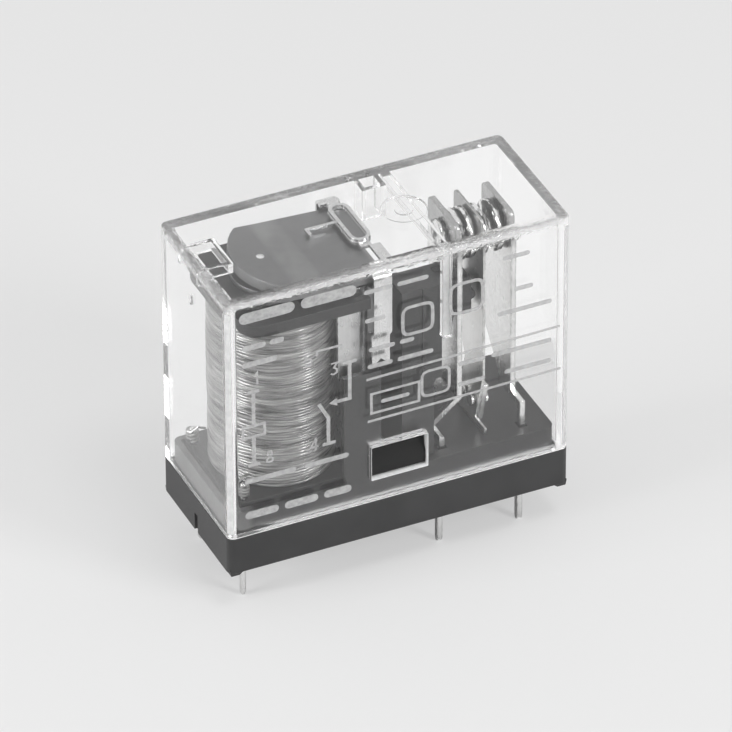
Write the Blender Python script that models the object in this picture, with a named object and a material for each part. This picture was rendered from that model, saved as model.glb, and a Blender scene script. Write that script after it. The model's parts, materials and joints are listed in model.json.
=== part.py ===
"""Printed-circuit power relay with a clear cover, one changeover contact.

Units are metres. X runs along the relay with the coil at -X and the contacts
at +X, Y runs across it with the front at -Y, and Z points up from the board.
The origin is the centre of the base's underside. The armature and the contact
blade are modelled at rest, with the coil off.
"""
import math

import bmesh
import bpy
from mathutils import Matrix, Vector

# Points nearer than this count as one
MERGE = 1e-7

# Overall body
LENGTH = 0.0288
WIDTH = 0.0126
BASE_HEIGHT = 0.0032
COVER_HEIGHT = 0.0218
CORNER_RADIUS = 0.0006
CORNER_STEPS = 5

# Clearances
SEAT_GAP = 0.0002
RUN_GAP = 0.0001
SLOT_GAP = 0.00015

# Cover
COVER_WALL = 0.00075
COVER_ROOF = 0.0008
COVER_EDGE_RADIUS = 0.0003
COVER_EDGE_STEPS = 3
RIB_WALL = 0.00035
CROSS_RIB_BEFORE_BREAK = 0.00282
CROSS_RIB_THICKNESS = 0.00075
CROSS_RIB_DEPTH = 0.0008
HANGING_RIB_DEPTH = 0.0078
END_RIB_LENGTH = 0.0024
END_RIB_WIDTH = 0.0037
END_RIB_Y = 0.00115
END_RIB_DEPTH = 0.0009
REAR_RIB_FROM_BARRIER = 0.0008
REAR_RIB_LENGTH = 0.002
REAR_RIB_WIDTH = 0.0016
REAR_RIB_DEPTH = 0.0028
GATE_FROM_BARRIER = 0.00245
GATE_RADIUS = 0.0018
GATE_DEPTH = 0.00015
GATE_NUB_RADIUS = 0.0007
VENT_WIDTH = 0.0003
VENT_HEIGHT = 0.0008
VENT_Y = 0.0004
VENT_BELOW_ROOF = 0.0027

# Base moulding
FOOT_HEIGHT = 0.0003
FOOT_LENGTH = 0.0009
FOOT_WIDTH = 0.0012
FOOT_FLARE = 0.0004
PLATEAU_HEIGHT = 0.002
WELL_DEPTH = 0.0012
WELL_WALL = 0.0005
POCKET_DEPTH = 0.0009
POCKET_RIM = 0.0011
POCKET_RIB = 0.003
GROOVE_WIDTH = 0.0006
GROOVE_DEPTH = 0.0002
BARRIER_X = 0.0008
BARRIER_WALL = 0.0008
BARRIER_BELOW_ROOF = 0.0033
BARRIER_REAR_DROP = 0.0052
BARRIER_SIDE_ROOM = 0.00095
BARRIER_PIN_ROOM = 0.000475
WING_RISE = 0.0071
WING_REACH = 0.0006
WING_LENGTH = 0.0016
WING_PROUD = 0.00015
SCREEN_REACH = 0.0015
SCREEN_BELOW_LEG = 0.00035

# Latches of the cover on the base
LATCH_HALF_LENGTH = 0.0023
LATCH_BACK = 0.0005
LATCH_HEIGHT = 0.0028
LATCH_REACH = 0.00055
LATCH_NOSE = 0.0012
WINDOW_GAP = 0.0001

# Magnet: bobbin, winding, core and yoke
FLANGE_THICKNESS = 0.001
FLANGE_END_ROOM = 0.00125
FLANGE_SIDE_ROOM = 0.00035
FLANGE_CORNER = 0.0018
FLANGE_ARM_SHORT = 0.00055
BOTTOM_FLANGE_LIFT = 0.0008
BOBBIN_LEG_LENGTH = 0.001
WINDING_YOKE_ROOM = 0.00025
WINDING_END_ROOM = 0.0012
WINDING_SIDE_ROOM = 0.0005
WINDING_RIDGE = 0.00007
WINDING_RIDGES = 30
WINDING_EDGE = 0.0003
TUBE_WALL = 0.0007
CORE_SHARE_OF_WINDING = 0.43011
CORE_TAIL_STEP = 0.0005
CORE_HEAD_OVERHANG = 0.0012
CORE_HEAD_HEIGHT = 0.0004
TURNED_STEPS = 36
YOKE_THICKNESS = 0.0014
YOKE_INSIDE_WINDING = 0.00035
YOKE_RIGHT = -0.0015
YOKE_BELOW_ROOF = 0.00195
YOKE_LIP_LENGTH = 0.0015
YOKE_LIP_THICKNESS = 0.0004
YOKE_CORNER = 0.0012
YOKE_LIP_INTO_SCREEN = 0.0006

# Armature
ARMATURE_THICKNESS = 0.0009
ARMATURE_END_ROOM = 0.00265
ARMATURE_END_RADIUS = 0.0058
ARMATURE_KINK_BEFORE_CORE = 0.0009
ARMATURE_KINK_DEG = 1.0
ARMATURE_BEND_RADIUS = 0.0006
ARMATURE_BEND_STEPS = 5
LEG_HALF_WIDTH = 0.0024
LEG_SHOULDER = 0.0012
LEG_TIP = 0.00035
DIMPLE_BEYOND_CORE = 0.001
DIMPLE_RADIUS = 0.0003
DIMPLE_DEPTH = 0.00015

# Hinge spring
SPRING_SHEET = 0.00025
SPRING_LIFT = 0.0003
SPRING_SIDE_ROOM = 0.0003
SPRING_BEND_RADIUS = 0.0005
SPRING_BEND_STEPS = 4
SPRING_FROM_HINGE = 0.0006
SPRING_LEG_LEFT = -0.0009
SPRING_LEG_RIGHT = 0.0006
SPRING_LEG_SHIFT = 0.0002
SPRING_LEG_LENGTH = 0.0084
SPRING_LEG_STEP = 0.0027
SPRING_FORK = 0.0007
SPRING_NECK_HALF = 0.00045
FRONT_EAR = (0.0002, 0.0011)
REAR_EAR = (-0.001, 0.0007)
EAR_GAP = 0.0005
RING_FRONT_ROOM = 0.00345
RING_REAR_ROOM = 0.00165
RING_WIDTH = 0.0018
RING_STROKE = 0.00036
RING_HEIGHT = 0.0005
RING_STEP = 0.00003
TONGUE_LENGTH = 0.0025
TONGUE_WIDTH = 0.00028
TONGUE_FROM_RING_END = 0.0011
TONGUE_HOOK = 0.0007

# Contact set
MAKE_END_ROOM = 0.00245
MAKE_PITCH = 0.00248
BREAK_PITCH = 0.00207
BLADE_ROOF_ROOM = 0.0008
BLADE_THICKNESS = 0.00045
BLADE_HALF_WIDTH = 0.0025
BLADE_CORNER = 0.0005
CONTACT_DROP = 0.0021
CONTACT_RADIUS = 0.0018
FIXED_HEAD = 0.0008
CLOSED_GAP = 0.0001
SHANK_RADIUS = 0.0008
TAIL_RADIUS = 0.0013
TAIL_HEIGHT = 0.0004
MOVING_SHEET = 0.0002
MOVING_LEAN = 0.00072
MOVING_BEND_RISE = 0.0043
MOVING_ROOT_EDGE = 0.0008
MOVING_TAPER_RISE = 0.0083
MOVING_FOOT_HEIGHT = 0.00045
BREAK_BEND_RISE = 0.0029
BREAK_FOOT_RISE = 0.001
BREAK_FOOT_SHARE = 0.5446
TERMINAL_TAPER_RISE = 0.0063
TERMINAL_ROOT_WIDTH = 0.0022
TERMINAL_FOOT_HEIGHT = 0.0006
MAKE_FOOT_RISE = 0.0023
COMMON_TAB_RISE = 0.0032
COMMON_TAB_EDGE = 0.0006
COMMON_TAB_GAP = 0.00015
BLADE_RIVET_RADIUS = 0.0003
BLADE_RIVET_HEAD = 0.0005
BLADE_RIVET_HEIGHT = 0.00025
BLADE_RIVET_PITCH = 0.0016
BLADE_RIVET_RISE = 0.0018

# Pins
PIN_SIDE_ROOM = 0.00155
PIN_WIDTH = 0.0005
PIN_DROP = 0.0037
PIN_TIP = 0.0003
COIL_PIN_END_ROOM = 0.00135
COIL_PIN_FROM_YOKE = 0.0013
COIL_PIN_RADIUS = 0.00025
COIL_PIN_RISE = 0.0014
LEAD_RADIUS = 0.0001
LEAD_SAG = 0.0003
LEAD_TURNS = 3
LEAD_SIDES = 6
LEAD_POINTS_PER_TURN = 10

# Card between the armature's leg and the moving blade
CARD_DROP = 0.0046
CARD_HEIGHT = 0.0032
CARD_HALF_WIDTH = 0.0015
CARD_HEAD_HALF_WIDTH = 0.0022
CARD_SHOULDER_LENGTH = 0.0008
CARD_SHOULDER_HALF_WIDTH = 0.0026
CARD_NOSE = 0.0004
CARD_NOSE_STEPS = 6
CARD_WAIST = 0.0005
CARD_POCKET_ROOM = 0.0006
CARD_WINDOW_GAP = 0.00025

# Looks: colour, roughness, metallic, alpha
BLACK_PLASTIC = ((0.055, 0.055, 0.058), 0.45)
CLEAR_PLASTIC = ((0.9, 0.92, 0.93), 0.05, 0.0, 0.25)
BOBBIN_PLASTIC = ((0.04, 0.04, 0.042), 0.5)
ENAMELLED_WIRE = ((0.42, 0.3, 0.22), 0.35, 0.6)
PLATED_STEEL = ((0.52, 0.52, 0.53), 0.35, 1.0)
YOKE_STEEL = ((0.55, 0.55, 0.56), 0.3, 1.0)
SPRING_STEEL = ((0.66, 0.66, 0.66), 0.22, 1.0)
TINNED_BRASS = ((0.7, 0.7, 0.69), 0.25, 1.0)
SPRING_BRONZE = ((0.74, 0.72, 0.68), 0.22, 1.0)
CONTACT_SILVER = ((0.86, 0.86, 0.85), 0.15, 1.0)

# Levels that follow from the sizes above
SEAM_Z = BASE_HEIGHT
TOP_Z = BASE_HEIGHT + COVER_HEIGHT
ROOF_UNDER = TOP_Z - COVER_ROOF
PLATEAU_Z = BASE_HEIGHT + PLATEAU_HEIGHT
PIN_TIP_Z = -(FOOT_HEIGHT + PIN_DROP)
WELL_FLOOR = BASE_HEIGHT - WELL_DEPTH
YOKE_FLOOR = WELL_FLOOR + SEAT_GAP
YOKE_PLATE_TOP = YOKE_FLOOR + YOKE_THICKNESS
YOKE_TOP = ROOF_UNDER - YOKE_BELOW_ROOF
BOTTOM_FLANGE_Z = YOKE_PLATE_TOP + BOTTOM_FLANGE_LIFT
BOTTOM_FLANGE_TOP = BOTTOM_FLANGE_Z + FLANGE_THICKNESS
TOP_FLANGE_TOP = YOKE_TOP - CORE_HEAD_HEIGHT - RUN_GAP
TOP_FLANGE_Z = TOP_FLANGE_TOP - FLANGE_THICKNESS
COIL_PIN_TOP = BOTTOM_FLANGE_TOP + COIL_PIN_RISE
BARRIER_TOP = ROOF_UNDER - BARRIER_BELOW_ROOF
BLADE_TOP = ROOF_UNDER - BLADE_ROOF_ROOM
CONTACT_Z = BLADE_TOP - CONTACT_DROP
CARD_Z = CONTACT_Z - CARD_DROP
MOVING_ROOT_Z = PLATEAU_Z + SEAT_GAP
BLADE_RIVET_Z = PLATEAU_Z + BLADE_RIVET_RISE
SPRING_MIDDLE_Z = YOKE_TOP + RUN_GAP + ARMATURE_THICKNESS + SPRING_LIFT + SPRING_SHEET / 2
SCREEN_TOP = SPRING_MIDDLE_Z - SPRING_LEG_LENGTH - SCREEN_BELOW_LEG
YOKE_LIP_Z = SCREEN_TOP - YOKE_LIP_INTO_SCREEN

# Places across the relay
INNER_HALF_WIDTH = WIDTH / 2 - COVER_WALL
PLATEAU_HALF_WIDTH = INNER_HALF_WIDTH - SEAT_GAP
WELL_HALF_WIDTH = PLATEAU_HALF_WIDTH - WELL_WALL
FLANGE_HALF_WIDTH = INNER_HALF_WIDTH - FLANGE_SIDE_ROOM
BARRIER_HALF_WIDTH = INNER_HALF_WIDTH - BARRIER_SIDE_ROOM
HANGING_RIB_WIDTH = BARRIER_SIDE_ROOM - WING_PROUD - SEAT_GAP
SPRING_HALF_WIDTH = INNER_HALF_WIDTH - SPRING_SIDE_ROOM
COMMON_TAB_WIDTH = BLADE_RIVET_PITCH + 2 * COMMON_TAB_EDGE
MOVING_ROOT_WIDTH = BLADE_RIVET_PITCH + 2 * MOVING_ROOT_EDGE
RING_LENGTH = 2 * SPRING_HALF_WIDTH - RING_FRONT_ROOM - RING_REAR_ROOM
RING_Y = (RING_FRONT_ROOM - RING_REAR_ROOM) / 2
PIN_ROW_Y = INNER_HALF_WIDTH - PIN_SIDE_ROOM

# Places along the relay
INNER_HALF_LENGTH = LENGTH / 2 - COVER_WALL
PLATEAU_HALF_LENGTH = INNER_HALF_LENGTH - SEAT_GAP
YOKE_LEFT = YOKE_RIGHT - YOKE_THICKNESS
WELL_RIGHT = YOKE_RIGHT + SEAT_GAP
WELL_LEFT = -(PLATEAU_HALF_LENGTH - WELL_WALL)
FLANGE_LEFT = -(INNER_HALF_LENGTH - FLANGE_END_ROOM)
COIL_PIN_X = -(INNER_HALF_LENGTH - COIL_PIN_END_ROOM)
WINDING_LEFT = -(INNER_HALF_LENGTH - WINDING_END_ROOM)
WINDING_RIGHT = YOKE_LEFT - WINDING_YOKE_ROOM
WINDING_RADIUS = min((WINDING_RIGHT - WINDING_LEFT) / 2, FLANGE_HALF_WIDTH - WINDING_SIDE_ROOM)
COIL_X = WINDING_RIGHT - WINDING_RADIUS
CORE_RADIUS = WINDING_RADIUS * CORE_SHARE_OF_WINDING
CORE_TAIL_RADIUS = CORE_RADIUS - CORE_TAIL_STEP
CORE_HEAD_RADIUS = CORE_RADIUS + CORE_HEAD_OVERHANG
TUBE_RADIUS = CORE_RADIUS + RUN_GAP + TUBE_WALL
YOKE_HALF_WIDTH = WINDING_RADIUS - YOKE_INSIDE_WINDING
ARMATURE_HALF_WIDTH = YOKE_HALF_WIDTH
ARMATURE_LENGTH = YOKE_RIGHT + INNER_HALF_LENGTH - ARMATURE_END_ROOM
SPRING_X = YOKE_RIGHT + SPRING_FROM_HINGE
MAKE_X = INNER_HALF_LENGTH - MAKE_END_ROOM
MOVING_X = MAKE_X - MAKE_PITCH
BREAK_X = MOVING_X - BREAK_PITCH
MOVING_ROOT_X = MOVING_X - MOVING_LEAN
BREAK_FOOT_X = BARRIER_X + BARRIER_WALL + (BREAK_X - BARRIER_X - BARRIER_WALL) * BREAK_FOOT_SHARE
BARRIER_RIGHT = BREAK_FOOT_X - BLADE_THICKNESS / 2 - SLOT_GAP - BARRIER_PIN_ROOM
WING_RIGHT = BARRIER_RIGHT + WING_REACH
CROSS_RIB_LEFT = BREAK_X - CROSS_RIB_BEFORE_BREAK
SCREEN_LEFT = YOKE_LEFT - SCREEN_REACH
GATE_X = BARRIER_X + GATE_FROM_BARRIER

# Contact travel, from the gap between the open contacts
BREAK_FACE_X = BREAK_X + BLADE_THICKNESS / 2 + RUN_GAP + FIXED_HEAD
MOVING_FACE_OFFSET = MOVING_X - BREAK_FACE_X - CLOSED_GAP
MAKE_FACE_X = MAKE_X - BLADE_THICKNESS / 2 - RUN_GAP - FIXED_HEAD
CONTACT_TRAVEL = MAKE_FACE_X - (MOVING_X + MOVING_FACE_OFFSET) - CLOSED_GAP
BLADE_SWING = CONTACT_TRAVEL / (CONTACT_Z - MOVING_ROOT_Z)
CARD_TRAVEL = BLADE_SWING * (CARD_Z - MOVING_ROOT_Z)
ARMATURE_SWING = CARD_TRAVEL / (YOKE_TOP - CARD_Z)
HINGE = Vector((YOKE_RIGHT, 0.0, YOKE_TOP))


def material(name, color, roughness, metallic=0.0, alpha=1.0):
    """Material with one colour."""
    result = bpy.data.materials.new(name)
    result.use_nodes = True
    shader = result.node_tree.nodes["Principled BSDF"]
    shader.inputs["Base Color"].default_value = (*color, 1.0)
    shader.inputs["Roughness"].default_value = roughness
    shader.inputs["Metallic"].default_value = metallic
    shader.inputs["Alpha"].default_value = alpha
    return result


def add_object(name, mesh, look, pivot=None):
    """Link a mesh as a named object with its own material, under its joint's empty if it moves."""
    mesh.name = name
    mesh.materials.clear()
    mesh.materials.append(material(name + "_material", *look))
    mesh.shade_smooth()
    mesh.set_sharp_from_angle(angle=math.radians(35))
    obj = bpy.data.objects.new(name, mesh)
    bpy.context.scene.collection.objects.link(obj)
    if pivot is not None:
        mesh.transform(Matrix.Translation(-pivot.location))
        obj.parent = pivot
    return obj


def joint_empty(name, location):
    """Empty on a joint's axis."""
    empty = bpy.data.objects.new(name, None)
    empty.location = location
    bpy.context.scene.collection.objects.link(empty)
    return empty


def finish_mesh(bm):
    """Close a bmesh: merge doubled points, face outwards and turn it into a mesh."""
    bmesh.ops.remove_doubles(bm, verts=bm.verts, dist=MERGE)
    bmesh.ops.recalc_face_normals(bm, faces=bm.faces)
    mesh = bpy.data.meshes.new("work")
    bm.to_mesh(mesh)
    bm.free()
    return mesh


def prism(points, low, high, axis="Z"):
    """Closed prism over an outline, from low to high along X, Y or Z."""
    place = {"Z": lambda a, b, h: (a, b, h),
             "Y": lambda a, b, h: (a, h, b),
             "X": lambda a, b, h: (h, a, b)}[axis]
    bm = bmesh.new()
    floor = bm.faces.new([bm.verts.new(place(a, b, low)) for a, b in points])
    grown = bmesh.ops.extrude_face_region(bm, geom=[floor])
    move = Vector(place(0, 0, high)) - Vector(place(0, 0, low))
    moved = [item for item in grown["geom"] if isinstance(item, bmesh.types.BMVert)]
    bmesh.ops.translate(bm, verts=moved, vec=move)
    return finish_mesh(bm)


def box(x0, x1, y0, y1, z0, z1):
    """Closed box between two corners."""
    return prism([(x0, y0), (x1, y0), (x1, y1), (x0, y1)], z0, z1)


def arc(center, radius, start_deg, end_deg, steps):
    """Points on an arc, both ends included."""
    return [(center[0] + radius * math.cos(math.radians(start_deg + (end_deg - start_deg) * i / steps)),
             center[1] + radius * math.sin(math.radians(start_deg + (end_deg - start_deg) * i / steps)))
            for i in range(steps + 1)]


def rounded_rectangle(half_length, half_width, radius, steps=CORNER_STEPS):
    """Outline of a rectangle about the origin with round corners."""
    x, y = half_length - radius, half_width - radius
    corners = [((x, y), 0), ((-x, y), 90), ((-x, -y), 180), ((x, -y), 270)]
    return [point for center, turn in corners for point in arc(center, radius, turn, turn + 90, steps)]


def obround(length, width, steps=8):
    """Outline of a slot shape along the second axis."""
    radius, reach = width / 2, (length - width) / 2
    return arc((0, reach), radius, 0, 180, steps) + arc((0, -reach), radius, 180, 360, steps)


def shifted(points, x, y):
    """Outline moved by x and y."""
    return [(a + x, b + y) for a, b in points]


def rounded_block(half_length, half_width, radius, levels):
    """Block with round corners, lofted through (height, inset) levels."""
    bm = bmesh.new()
    rings = []
    for height, inset in levels:
        outline = rounded_rectangle(half_length - inset, half_width - inset, radius - inset)
        ring = [bm.verts.new((x, y, height)) for x, y in outline]
        edges = [bm.edges.new((ring[i - 1], ring[i])) for i in range(len(ring))]
        rings.append((ring, edges))
    bm.faces.new(rings[0][0])
    bm.faces.new(rings[-1][0])
    for (_, lower), (_, upper) in zip(rings, rings[1:]):
        bmesh.ops.bridge_loops(bm, edges=lower + upper)
    return finish_mesh(bm)


def turned(profile, axis_point=(0, 0), steps=TURNED_STEPS):
    """Turned solid: a closed (radius, height) outline spun about a vertical axis."""
    bm = bmesh.new()
    verts = [bm.verts.new((radius, 0, height)) for radius, height in profile]
    edges = [bm.edges.new((verts[i - 1], verts[i])) for i in range(len(verts))
             if profile[i - 1][0] > 0 or profile[i][0] > 0]
    bmesh.ops.spin(bm, geom=verts + edges, cent=(0, 0, 0), axis=(0, 0, 1),
                   angle=2 * math.pi, steps=steps, use_merge=True)
    bmesh.ops.remove_doubles(bm, verts=bm.verts, dist=MERGE)
    bmesh.ops.translate(bm, verts=bm.verts, vec=(axis_point[0], axis_point[1], 0))
    return finish_mesh(bm)


def column(radius, low, high, x, y=0.0, steps=TURNED_STEPS):
    """Closed upright cylinder about a point in plan."""
    return prism(circle(x, y, radius, steps), low, high)


def along_x(mesh, x, y, z):
    """Turn a turned solid's axis from +Z to +X and place its zero height at x, y, z."""
    mesh.transform(Matrix.Translation((x, y, z)) @ Matrix.Rotation(math.pi / 2, 4, "Y"))
    return mesh


def boolean(body, tool, operation):
    """Cut, join or intersect two closed meshes and give the result."""
    body_object = bpy.data.objects.new("body", body)
    tool_object = bpy.data.objects.new("tool", tool)
    for obj in (body_object, tool_object):
        bpy.context.scene.collection.objects.link(obj)
    modifier = body_object.modifiers.new("boolean", "BOOLEAN")
    modifier.operation = operation
    modifier.solver = "EXACT"
    modifier.object = tool_object
    evaluated = body_object.evaluated_get(bpy.context.evaluated_depsgraph_get())
    result = bpy.data.meshes.new_from_object(evaluated)
    for obj in (body_object, tool_object):
        bpy.data.objects.remove(obj)
    return result


def join(body, *tools):
    """Union of closed meshes."""
    for tool in tools:
        body = boolean(body, tool, "UNION")
    return body


def cut(body, *tools):
    """Body less each tool."""
    for tool in tools:
        body = boolean(body, tool, "DIFFERENCE")
    return body


def fold(mesh, path, width_axis):
    """Fold a flat sheet along a path, mitred at each corner of the path.

    The flat sheet lies with its width along X, its length along Y and its
    thickness about Z = 0. Length is measured along the path from its first
    point. The width ends up along width_axis, X or Y.
    """
    lengths = [0.0]
    for start, end in zip(path, path[1:]):
        lengths.append(lengths[-1] + math.dist(start, end))
    bm = bmesh.new()
    bm.from_mesh(mesh)
    for length in lengths[1:-1]:
        bmesh.ops.bisect_plane(bm, geom=bm.verts[:] + bm.edges[:] + bm.faces[:],
                               plane_co=(0, length, 0), plane_no=(0, 1, 0), dist=MERGE)
    directions = [(Vector(end) - Vector(start)).normalized() for start, end in zip(path, path[1:])]
    normals = [Vector((-d.y, d.x)) for d in directions]
    for vert in bm.verts:
        width, length, depth = vert.co
        index = max(i for i in range(len(path) - 1) if length >= lengths[i] - MERGE or i == 0)
        point = Vector(path[index]) + directions[index] * (length - lengths[index])
        offset = normals[index]
        if index > 0 and abs(length - lengths[index]) < 2 * MERGE:
            mitre = (normals[index - 1] + normals[index]).normalized()
            offset = mitre / mitre.dot(normals[index])
        point = point + offset * depth
        vert.co = (point.x, width, point.y) if width_axis == "Y" else (width, point.x, point.y)
    return finish_mesh(bm)


def path_length(path, stop):
    """Length along a path up to its corner number stop."""
    return sum(math.dist(a, b) for a, b in zip(path[:stop], path[1:stop + 1]))


def flat_sheet(outline, thickness, holes=()):
    """Flat sheet about Z = 0 with closed outlines cut through it."""
    sheet = prism(outline, -thickness / 2, thickness / 2)
    return cut(sheet, *[prism(hole, -thickness, thickness) for hole in holes])


def circle(x, y, radius, steps=20):
    """Outline of a circle."""
    return arc((x, y), radius, 0, 360 - 360 / steps, steps - 1)


def both_sides(half):
    """Mirror a closed mesh across the XZ plane and give both copies."""
    other = half.copy()
    other.transform(Matrix.Scale(-1, 4, (0, 1, 0)))
    other.flip_normals()
    return half, other


def foot(sign_x, sign_y):
    """Corner foot that flares into the underside."""
    x = LENGTH / 2 - FOOT_LENGTH / 2
    y = WIDTH / 2 - FOOT_WIDTH / 2
    outline = [(-FOOT_LENGTH / 2 - FOOT_FLARE, SEAT_GAP), (-FOOT_LENGTH / 2 - FOOT_FLARE, 0.0)]
    outline += [(-FOOT_LENGTH / 2, -FOOT_HEIGHT), (FOOT_LENGTH / 2 - FOOT_FLARE / 2, -FOOT_HEIGHT)]
    outline += [(FOOT_LENGTH / 2 - FOOT_FLARE / 4, SEAT_GAP)]
    placed = [(sign_x * (x + a), b) for a, b in outline]
    inner, outer = y - FOOT_WIDTH / 2, y + FOOT_WIDTH / 2 - FOOT_FLARE / 4
    low, high = sorted((sign_y * inner, sign_y * outer))
    return prism(placed, low, high, "Y")


def latch(sign_y):
    """Latch block on the plateau, with a ramped nose that snaps into the cover's window."""
    back = PLATEAU_HALF_WIDTH - LATCH_BACK
    nose = PLATEAU_HALF_WIDTH + LATCH_REACH
    low = PLATEAU_Z - SEAT_GAP
    outline = [(back, low), (PLATEAU_HALF_WIDTH, low), (PLATEAU_HALF_WIDTH, PLATEAU_Z + WINDOW_GAP * 2)]
    outline += [(nose, PLATEAU_Z + WINDOW_GAP * 2), (nose, PLATEAU_Z + LATCH_NOSE)]
    outline += [(PLATEAU_HALF_WIDTH, PLATEAU_Z + LATCH_HEIGHT), (back, PLATEAU_Z + LATCH_HEIGHT)]
    placed = [(sign_y * a, b) for a, b in outline]
    return prism(placed, -LATCH_HALF_LENGTH, LATCH_HALF_LENGTH, "X")


def barrier():
    """Channel-shaped wall between the coil and the contacts, with an open slot for the card."""
    low = PLATEAU_Z - SEAT_GAP
    right = BARRIER_RIGHT
    inner = BARRIER_HALF_WIDTH - BARRIER_WALL
    outline = [(BARRIER_X, -BARRIER_HALF_WIDTH), (right, -BARRIER_HALF_WIDTH), (right, -inner)]
    outline += [(BARRIER_X + BARRIER_WALL, -inner), (BARRIER_X + BARRIER_WALL, inner), (right, inner)]
    outline += [(right, BARRIER_HALF_WIDTH), (BARRIER_X, BARRIER_HALF_WIDTH)]
    slot_half = CARD_HALF_WIDTH + SLOT_GAP
    slot = box(BARRIER_X - BARRIER_WALL, BARRIER_X + 2 * BARRIER_WALL, -slot_half, slot_half,
               CARD_Z - CARD_HEIGHT / 2 - SLOT_GAP, BARRIER_TOP + BARRIER_WALL)
    rear_step = box(BARRIER_X - BARRIER_WALL, right + BARRIER_WALL, slot_half - BARRIER_WALL, WIDTH,
                    BARRIER_TOP - BARRIER_REAR_DROP, BARRIER_TOP + BARRIER_WALL)
    return cut(join(prism(outline, low, BARRIER_TOP), wing()), slot, rear_step)


def wing():
    """Plate on the front arm's upper end, a little proud of it, that reaches beside the break blade."""
    front = -BARRIER_HALF_WIDTH
    return box(WING_RIGHT - WING_LENGTH, WING_RIGHT, front - WING_PROUD, front + BARRIER_WALL,
               PLATEAU_Z + WING_RISE, BARRIER_TOP)


def screen():
    """Wall of the base beside the coil well, in front of the yoke's arm."""
    return box(SCREEN_LEFT, WELL_RIGHT, WELL_HALF_WIDTH, PLATEAU_HALF_WIDTH, PLATEAU_Z - SEAT_GAP, SCREEN_TOP)


def pin_places():
    """Centre of each pin in plan, with its half sizes."""
    flat = (BLADE_THICKNESS / 2, PIN_WIDTH / 2)
    coil = (COIL_PIN_RADIUS, COIL_PIN_RADIUS)
    return [(COIL_PIN_X, -PIN_ROW_Y, coil), (COIL_PIN_X, PIN_ROW_Y, coil),
            (BREAK_FOOT_X, -PIN_ROW_Y, flat), (MAKE_X, -PIN_ROW_Y, flat),
            (common_tab_x(MOVING_ROOT_Z), PIN_ROW_Y, flat)]


def pin_hole(x, y, half):
    """Hole through the base for one pin."""
    reach_x, reach_y = half[0] + SLOT_GAP, half[1] + SLOT_GAP
    return box(x - reach_x, x + reach_x, y - reach_y, y + reach_y, -FOOT_HEIGHT, PLATEAU_Z + BASE_HEIGHT)


def pocket(sign_x):
    """Shallow pocket in the underside, on one side of the middle rib."""
    low, high = sorted((sign_x * POCKET_RIB / 2, sign_x * (LENGTH / 2 - POCKET_RIM)))
    half = WIDTH / 2 - POCKET_RIM
    return box(low, high, -half, half, -FOOT_HEIGHT, POCKET_DEPTH)


def make_base(look):
    """Moulded base: plate, feet, plateau, coil well, barrier, latches and pin holes."""
    plate = rounded_block(LENGTH / 2, WIDTH / 2, CORNER_RADIUS, [(0.0, 0.0), (BASE_HEIGHT, 0.0)])
    plateau = rounded_block(PLATEAU_HALF_LENGTH, PLATEAU_HALF_WIDTH, CORNER_RADIUS,
                            [(BASE_HEIGHT / 2, 0.0), (PLATEAU_Z, 0.0)])
    body = join(plate, plateau)
    body = cut(body, box(WELL_LEFT, WELL_RIGHT, -WELL_HALF_WIDTH, WELL_HALF_WIDTH, WELL_FLOOR, TOP_Z))
    body = cut(body, pocket(-1), pocket(1))
    groove_x = -LENGTH / 2
    groove = box(groove_x - GROOVE_DEPTH, groove_x + GROOVE_DEPTH, -GROOVE_WIDTH / 2, GROOVE_WIDTH / 2,
                 -FOOT_HEIGHT, BASE_HEIGHT / 2)
    body = cut(body, groove)
    body = join(body, *[foot(sx, sy) for sx in (-1, 1) for sy in (-1, 1)])
    body = join(body, barrier(), *both_sides(screen()), latch(-1), latch(1))
    body = cut(body, *[pin_hole(*place) for place in pin_places()])
    return add_object("base", body, look)


def window_cutter():
    """Cutter for both latch windows of the cover."""
    half = LATCH_HALF_LENGTH + WINDOW_GAP
    return box(-half, half, -WIDTH, WIDTH, PLATEAU_Z, PLATEAU_Z + LATCH_HEIGHT + 3 * WINDOW_GAP)


def end_rib():
    """Three-sided rib under the roof at the coil end."""
    left = -INNER_HALF_LENGTH - COVER_WALL / 2
    right = -INNER_HALF_LENGTH + END_RIB_LENGTH
    low, high = END_RIB_Y - END_RIB_WIDTH / 2, END_RIB_Y + END_RIB_WIDTH / 2
    inner, inner_low, inner_high = right - RIB_WALL, low + RIB_WALL, high - RIB_WALL
    outline = [(left, low), (right, low), (right, high), (left, high)]
    outline += [(left, inner_high), (inner, inner_high), (inner, inner_low), (left, inner_low)]
    return prism(outline, ROOF_UNDER - END_RIB_DEPTH, ROOF_UNDER + COVER_ROOF / 2)


def rear_rib():
    """Three-sided rib on the rear wall, above the barrier."""
    left = BARRIER_X + REAR_RIB_FROM_BARRIER
    right = left + REAR_RIB_LENGTH
    wall = INNER_HALF_WIDTH + COVER_WALL / 2
    low = INNER_HALF_WIDTH - REAR_RIB_WIDTH
    inner_left, inner_right, inner_low = left + RIB_WALL, right - RIB_WALL, low + RIB_WALL
    outline = [(left, wall), (left, low), (right, low), (right, wall)]
    outline += [(inner_right, wall), (inner_right, inner_low), (inner_left, inner_low), (inner_left, wall)]
    return prism(outline, ROOF_UNDER - REAR_RIB_DEPTH, ROOF_UNDER + COVER_ROOF / 2)


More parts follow.
